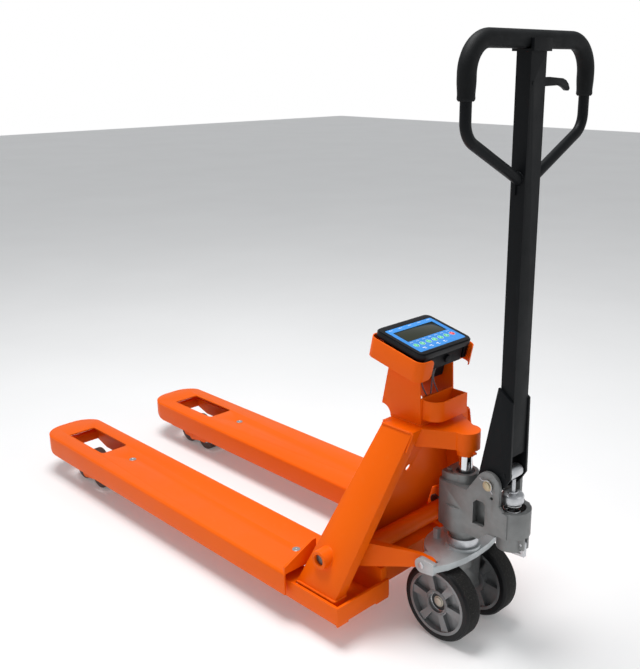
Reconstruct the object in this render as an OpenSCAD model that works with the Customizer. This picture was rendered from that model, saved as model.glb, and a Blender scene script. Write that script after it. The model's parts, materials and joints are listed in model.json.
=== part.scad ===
// Hand pallet truck with weighing forks.
// Sizes in millimetres. Inside the modules X = 0 is the fork tips, +X runs back to the
// steering handle, Y = 0 is the centre line and Z = 0 is the floor. move_to_origin()
// shifts every node so that the middle of the length is at X = 0.

/* [Weighing forks] */
// Length of a fork from its tip to its rear seam
fork_len = 1150; // [1000:10:1250]
// Width over both forks
overall_w = 568; // [520:2:690]
// Width of one fork
fork_w = 178; // [150:1:200]
// Height of the fork's top face with the truck part raised
fork_top = 128; // [110:1:150]
// Depth of the fork's side skirt
skirt_h = 56; // [45:1:60]
// Sheet thickness of the fork shell
shell_t = 4; // [3:0.5:6]
// Outside bend radius along the shell's top edges
shell_bend = 8; // [5:1:14]
// Corner radius of the fork tip in plan
tip_r = 70; // [40:1:85]
// Front edge of the tip opening
opening_x0 = 90; // [70:1:120]
// Rear edge of the tip opening
opening_x1 = 284; // [250:1:320]
// Half width of the tip opening
opening_half = 41.5; // [35:0.5:50]
// Front cover screw, measured from the tip
screw_x0 = 382; // [360:1:420]
// Rear cover screw, measured from the tip
screw_x1 = 1091; // [1050:1:1110]
// Radius of a cover screw's head
screw_head_r = 10; // [7:0.5:12]

/* [Chassis] */
// Width over the chassis
chassis_w = 537; // [500:1:560]
// Rear face of the chassis
chassis_rear = 1305; // [1280:1:1330]
// Top of the chassis
chassis_top = 101; // [90:1:110]
// Underside of the chassis
chassis_bottom = 58.5; // [50:0.5:70]
// Plate thickness of the chassis
plate_t = 5; // [4:0.5:8]
// Width of the inner fork beam
inner_w = 147; // [130:1:160]
// Height of the inner walls and the cross box above the floor
box_top = 132; // [115:1:150]
// Rear face of the cross box
box_rear = 1278; // [1240:1:1300]

/* [Beams and head] */
// Foot of a side beam, front
beam_foot_x0 = 1158; // [1140:1:1180]
// Foot of a side beam, rear
beam_foot_x1 = 1281; // [1250:1:1300]
// Top of a side beam, front
beam_top_x0 = 1276; // [1250:1:1300]
// Top of a side beam, rear
beam_top_x1 = 1363; // [1330:1:1390]
// Outer face of the beam at its foot, from the centre line
beam_foot_y = 254; // [230:1:268]
// Outer face of the beam at its top, from the centre line
beam_top_y = 100; // [80:1:120]
// Depth of the beam's flanges across the truck
beam_depth = 34; // [25:1:45]
// Top face of the head
head_top = 475; // [450:1:490]
// Thickness of the head
head_h = 41; // [35:1:50]
// Radius of the head's nose round the ram
nose_r = 30; // [28:1:38]
// Underside of the ram socket
socket_z = 418; // [410:1:425]

/* [Lifting linkage] */
// Pivot of the rocker, along the truck
pivot_x = 1223; // [1200:1:1240]
// Pivot of the rocker, height
pivot_z = 175.5; // [160:0.5:190]
// Radius of a rocker pivot pin
pivot_r = 13; // [10:0.5:15]
// Link pin of the rocker arms, along the truck
link_x = 1413; // [1400:1:1425]
// Link pin of the rocker arms, height
link_z = 190; // [180:0.5:195]
// Radius of the link pin
link_r = 7.5; // [6:0.5:9]
// Longest run of the link pin along the arm's eye
link_run = 10; // [8:0.5:14]
// Running clearance on every turning pin
fit = 0.05; // [0.02:0.01:0.1]
// Rocker lever, below the pivot
lever_drop = 35; // [28:1:45]
// Load roller bracket pivot, along the truck
bracket_x = 328.7; // [320:0.1:340]
// Load roller bracket pivot, height
bracket_z = 66; // [62:0.5:72]
// Bracket's lever above its pivot
bracket_rise = 24; // [20:1:26]

/* [Load rollers] */
// Radius of a load roller
roller_r = 40; // [37:0.5:41]
// Width of a load roller
roller_w = 70; // [60:1:80]
// Middle of the roller pair, along the truck
bogie_x = 192; // [180:1:210]
// Distance between the two roller axles
bogie_pitch = 92; // [86:1:100]
// Radius of a roller axle
axle_small_r = 7; // [5:0.5:9]

/* [Steering wheels] */
// Radius of a steering wheel
wheel_r = 90; // [80:1:100]
// Width of a steering wheel
wheel_w = 48; // [40:1:50]
// Outer face of a wheel from the centre line
wheel_out = 91.5; // [80:0.5:95]
// Outer radius of the wheel's aluminium rim
rim_r = 74; // [70:0.5:78]
// Radius of the wheel axle
axle_r = 10; // [8:0.5:12.5]
// Steering axis along the truck
steer_x = 1431.6; // [1420:0.1:1440]
// Top of the base plate
base_top = 199; // [195:0.5:205]
// Thickness of the base plate over the wheels
base_t = 15; // [12:0.5:18]

/* [Pump] */
// Half width of the pump casting
pump_half = 42; // [38:0.5:46]
// Underside of the pump casting
pump_bottom = 240; // [230:1:255]
// Top edge of the casting's flat side
pump_top = 359; // [350:1:370]
// Top of the ram collar
collar_top = 379.5; // [375:0.5:382]
// Radius of the chromed ram
ram_r = 15; // [13:0.5:18]
// Handle hinge, along the truck
hinge_x = 1522; // [1510:0.5:1530]
// Handle hinge, height
hinge_z = 388.5; // [380:0.5:395]
// Radius of the handle hinge pin
hinge_r = 8; // [7:0.5:10]
// Pump plunger, along the truck
plunger_x = 1556; // [1550:0.5:1565]
// Radius of the plunger's spring cap
cap_r = 24; // [20:0.5:24.5]
// Outer radius of the spring cup
cup_r = 40; // [36:0.5:42]
// Top of the spring cup
cup_top = 338; // [330:1:345]

/* [Handle] */
// Middle of the handle tube, along the truck
tube_x = 1548; // [1540:0.5:1555]
// Depth of the handle tube along the truck
tube_d = 32; // [25:1:40]
// Width of the handle tube across the truck
tube_w = 50; // [40:1:60]
// Bottom of the handle tube
tube_z0 = 458; // [450:1:470]
// Top of the handle tube
tube_z1 = 1249; // [1150:1:1260]
// Half width of the steering loop at its tube's middle
loop_half = 190; // [170:1:200]
// Height of the loop's top bar
loop_z = 1270; // [1200:1:1280]
// Radius of the loop's steel tube
loop_r = 10.5; // [9:0.5:13]
// Radius of the soft grip
grip_r = 17; // [14:0.5:19]

/* [Indicator and stand] */
// Half width of the stand
stand_half = 57; // [50:1:65]
// Length of the indicator's face along its slope
face_len = 132; // [120:1:150]
// Width of the indicator's face
face_w = 176; // [150:1:182]
// Slope of the indicator's face towards the operator
face_tilt = 12.7; // [5:0.1:25]
// Front edge of the indicator's face, along the truck
face_x = 1247; // [1230:1:1260]
// Front edge of the indicator's face, height
face_z = 677; // [660:1:690]

/* [Hidden] */
$fn = 64;
mid_x = 798.5;
fork_y = (overall_w - fork_w) / 2;
fork_low = fork_top - skirt_h;
chassis_y = chassis_w / 2;
head_low = head_top - head_h;
heel_x = fork_len + 4;
inner_wall_y = 104;
beam_lean = (beam_foot_y - beam_top_y) / (head_top - chassis_top);
arm_len = link_x - pivot_x;
arm_tilt = atan((link_z - pivot_z) / arm_len);
lever_z = pivot_z - lever_drop;
pushrod_z = bracket_z + 18;
bracket_lean = 7.7;
bracket_pin_x = bracket_x + bracket_rise * sin(bracket_lean);
bracket_pin_z = bracket_z + bracket_rise * cos(bracket_lean);
bogie_z = roller_r;
ear_out = 122;
ear_in = 110;
arm_out = 109.4;
arm_in = 97;
eye_play = 1.1;
race_top = base_top + 7;
ring_top = base_top + 27;
spindle_r = 24;
hinge_out = pump_half;
hinge_in = 33;
side_out = 31.4;
roller_x = 1552;
roller_z = 416;
press_r = 14;
plunger_top = roller_z - press_r - 0.4;
cap_top = 372;
cap_low = 350;
coil_turns = 5.5;
coil_rings = 88;
coil_sides = 8;
coil_r = 17.7;
wire_r = 1.8;
coil_rise = 71;
lever_pin_y = -14;
lever_pin_z = 1193;
key_row = 92;
key_pitch = 20;
key_r = 6;
key_gap = 0.35;
face_t = 14;
shield_high = -15;
shield_low = -62;
shield_half = 95;
shield_t = 2.5;
flap_end = -50;
flap_r = 12;
COL_ORANGE = [0.93, 0.35, 0.02];
COL_GREY = [0.62, 0.64, 0.65];
COL_BLACK = [0.06, 0.06, 0.065];
COL_STEEL = [0.72, 0.73, 0.75];
COL_RUBBER = [0.05, 0.05, 0.05];
COL_BLUE = [0.1, 0.42, 0.8];
COL_GREEN = [0.2, 0.68, 0.35];
COL_RED = [0.85, 0.12, 0.15];
COL_LCD = [0.2, 0.24, 0.2];

// ---------- helpers ----------

module move_to_origin() translate([-mid_x, 0, 0]) children();

// side = -1 is the operator's left, drawn at negative Y; +1 mirrors it.
module on_side(side) mirror([0, side > 0 ? 1 : 0, 0]) children();

module bar_x(x0, x1, y0, y1, z0, z1)
    translate([x0, y0, z0]) cube([x1 - x0, y1 - y0, z1 - z0]);

module rod_y(x, z, r, y0, y1)
    translate([x, y1, z]) rotate([90, 0, 0]) cylinder(r = r, h = y1 - y0);

module rod_z(x, y, r, z0, z1)
    translate([x, y, z0]) cylinder(r = r, h = z1 - z0);

module rod_x(y, z, r, x0, x1)
    translate([x0, y, z]) rotate([0, 90, 0]) cylinder(r = r, h = x1 - x0);

// A profile drawn in X and Z, standing between two Y values.
module slab_xz(y0, y1)
    translate([0, y1, 0]) rotate([90, 0, 0]) linear_extrude(y1 - y0) children();

// A profile drawn in Y and Z, lying between two X values.
module slab_yz(x0, x1)
    translate([x0, 0, 0]) rotate([90, 0, 90]) linear_extrude(x1 - x0) children();

// ---------- weighing forks ----------

module fork_plan(inset) {
    half = fork_w / 2;
    for (s = [-1, 1])
        translate([tip_r, s * (half - tip_r)]) circle(r = tip_r - inset);
    translate([tip_r, -(half - inset)]) square([fork_len - tip_r, fork_w - 2 * inset]);
    translate([inset, -(half - tip_r)]) square([tip_r, fork_w - 2 * tip_r]);
}

module fork_section(inset, low) {
    half = fork_w / 2 - inset;
    r = shell_bend - inset;
    top = fork_top - inset;
    translate([-half, low]) square([2 * half, top - r - low]);
    translate([-(half - r), low]) square([2 * (half - r), top - low]);
    for (s = [-1, 1])
        translate([s * (half - r), top - r]) circle(r = r);
}

module opening_plan() {
    r = 10;
    translate([opening_x0, -opening_half])
        square([opening_x1 - opening_x0 - r, 2 * opening_half]);
    translate([opening_x0, -(opening_half - r)])
        square([opening_x1 - opening_x0, 2 * (opening_half - r)]);
    for (s = [-1, 1])
        translate([opening_x1 - r, s * (opening_half - r)]) circle(r = r);
}

// The skirt rises towards the tip so that the fork slips under a pallet.
module tip_rise()
    slab_xz(-fork_w, fork_w)
        polygon([[-10, 0], [78, 0], [78, fork_low], [62, fork_low + 3], [0, fork_top - 22],
            [-10, fork_top - 22]]);

module weigh_fork(side) {
    difference() {
        translate([0, side * fork_y, 0]) union() {
            difference() {
                intersection() {
                    slab_yz(0, fork_len) fork_section(0, fork_low);
                    linear_extrude(200) fork_plan(0);
                }
                intersection() {
                    slab_yz(-1, fork_len + 1) fork_section(shell_t, fork_low - 1);
                    linear_extrude(200) union() {
                        fork_plan(shell_t);
                        translate([fork_len - 10, -(fork_w / 2 - shell_t)])
                            square([20, fork_w - 2 * shell_t]);
                    }
                }
                tip_rise();
                translate([0, 0, fork_top - 20]) linear_extrude(40) opening_plan();
            }
            on_side(side) heel_stop();
        }
        for (x = [screw_x0, screw_x1]) {
            rod_z(x, side * fork_y, 5, fork_top - 10, fork_top + 1);
            rod_z(x, side * fork_y, screw_head_r, fork_top - 1.6, fork_top + 1);
        }
    }
}

// Upright stop plate across the rear end of a fork's top face.
module heel_stop()
    slab_yz(fork_len - 6, fork_len)
        polygon([[-fork_w / 2 + 2, fork_top - 3], [-fork_w / 2 + 2, fork_top + 13],
            [-2, fork_top + 49], [10, fork_top + 49], [10, fork_top - 3]]);

module weigh_fork_left() color(COL_ORANGE) move_to_origin() weigh_fork(-1);
module weigh_fork_right() color(COL_ORANGE) move_to_origin() weigh_fork(1);

module fork_screws() color(COL_STEEL) move_to_origin()
    for (s = [-1, 1], x = [screw_x0, screw_x1]) {
        difference() {
            rod_z(x, s * fork_y, screw_head_r - 0.3, fork_top - 1.6, fork_top + 0.6);
            translate([x, s * fork_y, fork_top - 0.8]) cylinder(r = 4, h = 3, $fn = 6);
        }
        rod_z(x, s * fork_y, 4.5, fork_top - shell_t - 1.5, fork_top - 1.6);
    }

// Four load cells carry the fork shells on the inner forks.
module load_cell(x, dir)
    union() {
        translate([x, 0, chassis_top + 1.5])
            bar_x(-22, 108, -16, 16, 0, fork_top - shell_t - chassis_top - 3);
        translate([x, 0, 0])
            bar_x(dir > 0 ? -22 : 78, dir > 0 ? 8 : 108, -16, 16, fork_top - shell_t - 2,
                fork_top - shell_t);
        translate([x, 0, 0])
            bar_x(dir > 0 ? 68 : -22, dir > 0 ? 108 : 18, -16, 16, chassis_top, chassis_top + 2);
    }

module load_cells() color(COL_STEEL) move_to_origin()
    for (s = [-1, 1]) translate([0, s * fork_y, 0])
        difference() {
            union() {
                load_cell(screw_x0, 1);
                load_cell(screw_x1 - 86, -1);
            }
            for (x = [screw_x0, screw_x1]) rod_z(x, 0, 4.6, fork_top - 16, fork_top);
            for (x = [screw_x0 + 43, screw_x1 - 43]) rod_y(x, (chassis_top + fork_top) / 2 - 1.5, 5, -20, 20);
        }

// ---------- chassis ----------

// Inner fork: a channel under the weighing fork, open over the rollers and the bracket.
module inner_channel() {
    y0 = -fork_y - inner_w / 2;
    y1 = -fork_y + inner_w / 2;
    difference() {
        union() {
            bar_x(40, heel_x + 2, y0, y0 + plate_t, chassis_bottom, chassis_top);
            bar_x(40, heel_x + 2, y1 - plate_t, y1, chassis_bottom, chassis_top);
            bar_x(350, heel_x + 2, y0, y1, chassis_top - plate_t, chassis_top);
            bar_x(40, 60, y0, y1, chassis_bottom, chassis_top);
        }
        bar_x(1118, heel_x + 4, -fork_y - 12, -fork_y + 12, 90, chassis_top + 1);
        slab_xz(-chassis_y - 10, 0)
            polygon([[0, 50], [110, 50], [110, chassis_bottom], [40, chassis_top - 22], [0, chassis_top - 22]]);
        rod_y(bracket_x, bracket_z, 7, -chassis_y - 20, 0);
    }
}

// Heel box: walls with an open pocket, and an upright inner wall.
module heel_box() {
    y0 = -chassis_y;
    y1 = -inner_wall_y;
    difference() {
        bar_x(heel_x, chassis_rear, y0, y1, chassis_bottom, chassis_top);
        bar_x(heel_x + 6, chassis_rear - 7, y0 + 7, y1 - 19, chassis_bottom + 5, chassis_top + 1);
        bar_x(heel_x - 5, heel_x + 10, y0 + 7, y1 - 19, chassis_bottom + 5, chassis_top - plate_t);
        bar_x(heel_x - 5, heel_x + 10, -fork_y - 12, -fork_y + 12, 90, chassis_top + 1);
    }
    bar_x(beam_foot_x0 + 12, chassis_rear - 7, y1 - 19, y1, chassis_bottom, box_top);
    bar_x(chassis_rear - 5, chassis_rear, y0 + 0.5, y0 + 34, chassis_bottom - 4, chassis_bottom);
    bar_x(chassis_rear - 5, chassis_rear, y1 - 42, y1 - 2, chassis_bottom - 4, chassis_bottom);
}

module inner_fork(side)
    on_side(side) difference() {
        union() {
            inner_channel();
            heel_box();
        }
        rod_y(bracket_x, bracket_z, 7, -chassis_y - 20, 0);
    }

module inner_fork_left() color(COL_ORANGE) move_to_origin() inner_fork(-1);
module inner_fork_right() color(COL_ORANGE) move_to_origin() inner_fork(1);

// Side beam: a pressed channel leaning in and back from the heel box up to the head.
module beam_side_profile(inset)
    polygon([[beam_foot_x0 + inset, chassis_bottom + 5], [beam_foot_x1 - inset, chassis_bottom + 5],
        [beam_foot_x1 - inset, chassis_top], [beam_top_x1 - inset, head_top - inset],
        [beam_top_x0 + inset, head_top - inset], [beam_foot_x0 + inset, chassis_top]]);

module beam_cross_profile(inset, depth)
    polygon([[-beam_foot_y + inset, chassis_bottom], [-beam_foot_y + depth, chassis_bottom],
        [-beam_foot_y + depth, chassis_top], [-beam_top_y + depth, head_top],
        [-beam_top_y + inset, head_top], [-beam_foot_y + inset, chassis_top]]);

module side_beam(side)
    on_side(side) difference() {
        union() {
            difference() {
                intersection() {
                    slab_xz(-300, 0) beam_side_profile(0);
                    slab_yz(1100, 1400) beam_cross_profile(0, beam_depth);
                }
                intersection() {
                    slab_xz(-300, 0) beam_side_profile(plate_t + 1);
                    slab_yz(1100, 1400) beam_cross_profile(plate_t + 1, beam_depth + 1);
                }
            }
            rod_y(pivot_x, pivot_z, 22, -247, -204);
        }
        rod_y(pivot_x, pivot_z, pivot_r, -250, -180);
    }

module side_beam_left() color(COL_ORANGE) move_to_origin() side_beam(-1);
module side_beam_right() color(COL_ORANGE) move_to_origin() side_beam(1);

// Head: a thick plate between the beams that tapers to a round nose over the ram.
module head_plan() {
    polygon([[beam_top_x0 - 10, -75], [1352, -75], [1371, -61], [1426, -nose_r + 0.6],
        [steer_x, -nose_r], [steer_x, nose_r], [1426, nose_r - 0.6], [1371, 61], [1352, 75],
        [beam_top_x0 - 10, 75]]);
    translate([steer_x, 0]) circle(r = nose_r);
}

module head_bridge() color(COL_ORANGE) move_to_origin()
    difference() {
        union() {
            translate([0, 0, head_low]) linear_extrude(head_h) head_plan();
            rod_z(steer_x, 0, 20, socket_z, head_low);
            slab_xz(-87, 87) polygon([[beam_top_x0 - 10, head_top - 8], [1358, head_top - 8],
                [1358, head_top], [beam_top_x0 - 10, head_top]]);
            rod_x(0, (socket_z + head_low) / 2, 3, steer_x + 18, steer_x + 27);
        }
        rod_z(steer_x, 0, ram_r, socket_z - 1, head_low + 14);
        bar_x(beam_top_x0 + 6, 1352, -52, 52, head_low - 1, head_top - 8);
    }

// Heel plate between the beams, with the cable hole, and the cross box below it.
function plate_x(z) = beam_foot_x0 + 22 + (beam_top_x0 - beam_foot_x0) * (z - chassis_top)
    / (head_top - chassis_top);

module heel_plate_outline() {
    y0 = 148;
    step_z = 212;
    y1 = beam_foot_y - plate_t - 2 - beam_lean * (step_z - chassis_top);
    y2 = beam_top_y + 12;
    polygon([[-y0, chassis_top], [y0, chassis_top], [y0, step_z], [y1, step_z], [y2, head_low],
        [-y2, head_low], [-y1, step_z], [-y0, step_z]]);
}

module heel_plate() color(COL_ORANGE) move_to_origin()
    difference() {
        union() {
            intersection() {
                slab_xz(-300, 300) polygon([[plate_x(chassis_top), chassis_top],
                    [plate_x(chassis_top) + 5, chassis_top], [plate_x(head_low) + 5, head_low],
                    [plate_x(head_low), head_low]]);
                slab_yz(1100, 1400) heel_plate_outline();
            }
            bar_x(1180, box_rear, -inner_wall_y, inner_wall_y, box_top - 6, box_top);
            bar_x(box_rear - 5, box_rear, -inner_wall_y, inner_wall_y, 72, box_top);
            bar_x(1180, 1185, -inner_wall_y, inner_wall_y, 72, box_top);
        }
        rod_x(15, 321, 8, 1150, 1320);
    }

module ram() color(COL_STEEL) move_to_origin() rod_z(steer_x, 0, ram_r, 262, head_low + 13);

module rocker_pins() color(COL_STEEL) move_to_origin()
    for (s = [-1, 1]) on_side(s) rod_y(pivot_x, pivot_z, pivot_r, -240, -152);

module bracket_pins() color(COL_STEEL) move_to_origin()
    for (s = [-1, 1]) on_side(s)
        rod_y(bracket_x, bracket_z, 7, -fork_y - inner_w / 2, -fork_y + inner_w / 2);

// ---------- stand and indicator ----------

module display_stand() color(COL_ORANGE) move_to_origin() {
    for (y = [-stand_half, stand_half - 3]) slab_xz(y, y + 3) stand_profile();
    intersection() {
        slab_xz(-stand_half + 3, stand_half - 3) stand_profile();
        slab_xz(-stand_half, stand_half)
            polygon([[1230, 499], [1239, 499], [1263.5, 615], [1254, 615]]);
    }
    bar_x(1270, 1350, -stand_half + 3, stand_half - 3, head_top, head_top + 3);
    bar_x(1346.5, 1349.5, -stand_half + 3, stand_half - 3, head_top + 3, 537);
    document_tray();
}

module stand_profile()
    difference() {
        polygon([[1262, head_top], [1350, head_top], [1345, 592.6], [1260, 611.8],
            [1236, 500], [1238, 475]]);
        translate([1238, 475]) circle(r = 24);
        translate([1200, 460]) square([38, 39]);
    }

module tray_plan(inset) {
    r = 28 - inset;
    translate([1349.5, -51 + inset]) square([13.5, 102 - 2 * inset]);
    translate([1349.5, -23]) square([41.5 - inset, 74 - inset]);
    translate([1363, -23]) circle(r = r);
}

module document_tray() {
    difference() {
        translate([0, 0, 489]) linear_extrude(45) tray_plan(0);
        translate([0, 0, 491.5]) linear_extrude(45) tray_plan(2.5);
    }
}

// Indicator parts are drawn flat and laid on the face: X down the slope, Z out of it.
module on_face()
    move_to_origin() translate([face_x, 0, face_z]) rotate([0, face_tilt, 0]) children();

module round_rect(x0, x1, half, r) {
    translate([x0 + r, -half]) square([x1 - x0 - 2 * r, 2 * half]);
    translate([x0, -half + r]) square([x1 - x0, 2 * half - 2 * r]);
    for (x = [x0 + r, x1 - r], y = [-half + r, half - r])
        translate([x, y]) circle(r = r);
}

module shield_bracket() color(COL_ORANGE) on_face() {
    difference() {
        translate([0, 0, shield_low]) linear_extrude(shield_high - shield_low)
            round_rect(-12, face_len + 8, shield_half, 19);
        translate([0, 0, shield_low - 1]) linear_extrude(shield_high - shield_low + 2)
            round_rect(-12 + shield_t, face_len + 8 - shield_t, shield_half - shield_t, 19 - shield_t);
        bar_x(face_len - 12, face_len + 20, flap_end, 79, -70, 0);
        flap_corner(shield_low, shield_low + flap_r);
        flap_corner(shield_high, shield_high - flap_r);
    }
    difference() {
        bar_x(4, 112, -shield_half + shield_t - 0.1, shield_half - shield_t + 0.1, shield_low,
            shield_low + shield_t);
        bar_x(16, 108, -53, 53, -70, -50);
    }
}

// Rounds one corner of the near flap's free end: the corner is at height z, the round's
// centre at height middle.
module flap_corner(z, middle)
    difference() {
        bar_x(face_len - 12, face_len + 20, flap_end - flap_r, flap_end + 1, min(z - 1, middle),
            max(z + 1, middle));
        rod_x(flap_end - flap_r, middle, flap_r, face_len - 13, face_len + 21);
    }

module indicator_body() color(COL_BLACK) on_face() {
    difference() {
        translate([0, 0, -52]) linear_extrude(52 - face_t) round_rect(8, face_len - 8, 72, 10);
        translate([0, 0, -49]) linear_extrude(60) round_rect(11, face_len - 11, 69, 8);
    }
    difference() {
        translate([0, 0, -96]) linear_extrude(44) round_rect(34, 100, 52, 8);
        translate([0, 0, -93]) linear_extrude(60) round_rect(37, 97, 49, 6);
        bar_x(50, 84, -20, -14, -100, -90);
    }
    rod_x(12, -34, 9, face_len - 9, face_len - 2);
    rod_x(-40, -34, 7, face_len - 9, face_len - 4);
    bar_x(face_len - 40, face_len - 8, 72, 86, -50, -22);
}

module indicator_bezel() color(COL_BLACK) on_face()
    difference() {
        union() {
            translate([0, 0, -face_t]) linear_extrude(face_t - 3) round_rect(-6, face_len, face_w / 2, 17);
            translate([0, 0, -3.01]) linear_extrude(3.01) round_rect(-3, face_len - 3, face_w / 2 - 3, 14);
        }
        translate([0, 0, -1]) linear_extrude(3) round_rect(13, 119, 76.2, 3);
        bar_x(28, 73, -65, 65, -20, 1);
        for (k = [0:6])
            translate([key_row, key_pitch * (k - 3), -20]) cylinder(r = key_r + key_gap, h = 25);
        translate([0, 0, -face_t - 1]) linear_extrude(face_t - 5) round_rect(11, face_len - 11, 69, 8);
    }

module keypad_panel() color(COL_BLUE) on_face()
    difference() {
        translate([0, 0, -1]) linear_extrude(0.8) round_rect(13.2, 118.8, 76, 3);
        bar_x(28, 73, -65, 65, -2, 1);
        for (k = [0:6])
            translate([key_row, key_pitch * (k - 3), -2]) cylinder(r = key_r + key_gap, h = 4);
    }

module lcd() color(COL_LCD) on_face() bar_x(28.2, 72.8, -64.8, 64.8, -4.5, -1.2);

module circuit_board() color([0.05, 0.3, 0.15]) on_face()
    union() {
        bar_x(20, face_len - 18, -62, 62, -16, -14.4);
        for (k = [0:6])
            translate([key_row, key_pitch * (k - 3), -14.4]) cylinder(r = 3, h = 2.4);
        bar_x(28.2, 72.8, -60, 60, -14.4, -6);
    }

module battery() color(COL_BLACK) on_face() bar_x(41, 94, -38, 38, -92.5, -56);

module key_cap(k, c)
    color(c) on_face() translate([key_row, key_pitch * (k - 3), 0]) {
        translate([0, 0, -6]) cylinder(r = key_r, h = 6.2);
        translate([0, 0, -11]) cylinder(r = 2.5, h = 5);
    }

module key_1() key_cap(0, COL_GREEN);
module key_2() key_cap(1, COL_GREEN);
module key_3() key_cap(2, COL_GREEN);
module key_4() key_cap(3, COL_GREEN);
module key_5() key_cap(4, COL_GREEN);
module key_6() key_cap(5, COL_GREEN);
module key_power() key_cap(6, COL_RED);

// Three thin cables rise from the head through the stand into the indicator.
module signal_cables() color(COL_RUBBER) move_to_origin()
    for (y = [-26, -6, 12]) rod_z(1336, y, 1.8, head_top + 3, 603);

// ---------- base plate, pump and wheels ----------

module base_plan() {
    intersection() {
        translate([steer_x, 0]) circle(r = 86);
        translate([steer_x - 90, -arm_in + 1]) square([90, 2 * arm_in - 2]);
    }
    polygon([[steer_x - 1, -arm_in + 1], [1441, -arm_in + 1], [1441, -ear_in],
        [link_x, -ear_in], [link_x, -ear_out], [1447, -ear_out], [1462, -88], [1471, -45],
        [1474, 0], [1471, 45], [1462, 88], [1447, ear_out], [link_x, ear_out],
        [link_x, ear_in], [1441, ear_in], [1441, arm_in - 1], [steer_x - 1, arm_in - 1]]);
}

module ear_shape() {
    translate([link_x, link_z]) circle(r = 17);
    polygon([[link_x, link_z - 17], [1447, link_z - 12], [1447, link_z + 14], [link_x, link_z + 17]]);
}

module base_plate() color(COL_GREY) move_to_origin()
    difference() {
        union() {
            translate([0, 0, base_top - base_t]) linear_extrude(base_t) base_plan();
            for (s = [-1, 1]) on_side(s) {
                slab_xz(-ear_out, -ear_in) ear_shape();
                bar_x(1392, 1431, -arm_in + 1, -80, 181.5, base_top);
                bar_x(1366, 1378, -25, -13, base_top - 1, base_top + 24);
            }
            rod_z(steer_x, 0, 40, base_top - 1, race_top);
        }
        rod_z(steer_x, 0, spindle_r + fit, 100, 300);
        for (s = [-1, 1]) on_side(s) rod_y(link_x, link_z, link_r, -ear_out - 1, -84);
    }

module base_pins() color(COL_STEEL) move_to_origin()
    for (s = [-1, 1]) on_side(s) rod_y(link_x, link_z, link_r, -ear_out - 1.5, -84);

// Flat cast sides of the pump, with the ears that carry the handle hinge.
module pump_side_profile() {
    polygon([[1398, 256], [1398, pump_top], [1467, pump_top], [1499, hinge_z + 17.5],
        [hinge_x, hinge_z], [hinge_x + 29, hinge_z], [hinge_x + 29, cup_top + 10],
        [1560, cup_top], [1572, cup_top - 2], [1572, 281], [1530, 281], [1503, 257]]);
    translate([hinge_x, hinge_z]) circle(r = 29);
}

module pump_core() {
    translate([0, 0, 256]) linear_extrude(pump_top - 256)
        polygon([[1386, -30], [1390, -38], [1398, -42], [1480, -42], [1480, 42], [1398, 42],
            [1390, 38], [1386, 30]]);
    rod_z(steer_x, 0, 47.5, 250, 309);
    rod_z(steer_x, 0, 38, pump_bottom, 250);
    rod_z(steer_x, 0, 29.5, pump_top - 1, collar_top);
    translate([0, 0, pump_top - 1]) linear_extrude(19)
        polygon([[1390, -29], [1410, -34], [1431, -29.5], [1431, 29.5], [1410, 34], [1390, 29]]);
    translate([1402, -17, pump_top + 18]) cylinder(r = 6, h = 5, $fn = 6);
    bar_x(1478, 1530, -20, 20, 262, cup_top - 4);
    rod_z(1557, 0, cup_r, 280, cup_top);
    rod_z(plunger_x, 0, 30, 246, 281);
    rod_z(steer_x, 0, 30, ring_top, pump_bottom + 1);
    for (s = [-1, 1]) on_side(s) {
        slab_xz(-hinge_out, -hinge_in) pump_side_profile();
        bar_x(1574, 1595, -10, -4.4, 252, 282);
    }
}

module axle_block() {
    rod_z(steer_x, 0, spindle_r, 150, pump_bottom + 1);
    slab_xz(-40, 40) {
        polygon([[steer_x - 16, 90], [steer_x + 16, 90], [steer_x + 22, 176], [steer_x - 22, 176]]);
        translate([steer_x, wheel_r]) circle(r = 20);
    }
}

module pump_body() color(COL_GREY) move_to_origin()
    difference() {
        union() {
            pump_core();
            axle_block();
        }
        rod_z(steer_x, 0, ram_r + fit, 218, 400);
        rod_z(steer_x, 0, 21, collar_top - 3, 400);
        rod_z(1557, 0, 29, 289, 400);
        rod_z(plunger_x, 0, 6 + fit, 250, 300);
        rod_y(hinge_x, hinge_z, hinge_r, -60, 60);
        rod_y(steer_x, wheel_r, axle_r, -60, 60);
        rod_y(1588, 263, 3 + fit, -20, 20);
        bar_x(1575, 1600, -4.4, 4.4, 230, 279);
        for (s = [-1, 1]) on_side(s) {
            slab_xz(-50, -20)
                polygon([[1486, 289], [1514, 289], [1517, 294], [1517, 340], [1512, 346],
                    [1494, 346], [1486, 338]]);
            rod_y(1532.5, 362.5, 3.5, -50, -30);
        }
    }

module thrust_ring() color(COL_STEEL) move_to_origin()
    difference() {
        rod_z(steer_x, 0, 35, race_top + 0.3, ring_top);
        rod_z(steer_x, 0, spindle_r, race_top - 1, ring_top + 1);
    }

module hinge_pin() color(COL_STEEL) move_to_origin() {
    rod_y(hinge_x, hinge_z, hinge_r, -48, 48);
    for (s = [-1, 1]) on_side(s) difference() {
        rod_y(hinge_x, hinge_z, hinge_r + 3.5, -45.5, -hinge_out);
        rod_y(hinge_x, hinge_z, hinge_r - 0.5, -46, -hinge_out + 1);
    }
}

module wheel_axle() color(COL_STEEL) move_to_origin() {
    rod_y(steer_x, wheel_r, axle_r, -83, 83);
    for (s = [-1, 1]) on_side(s) rod_y(steer_x, wheel_r, axle_r + 3, -81, -79);
}

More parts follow.
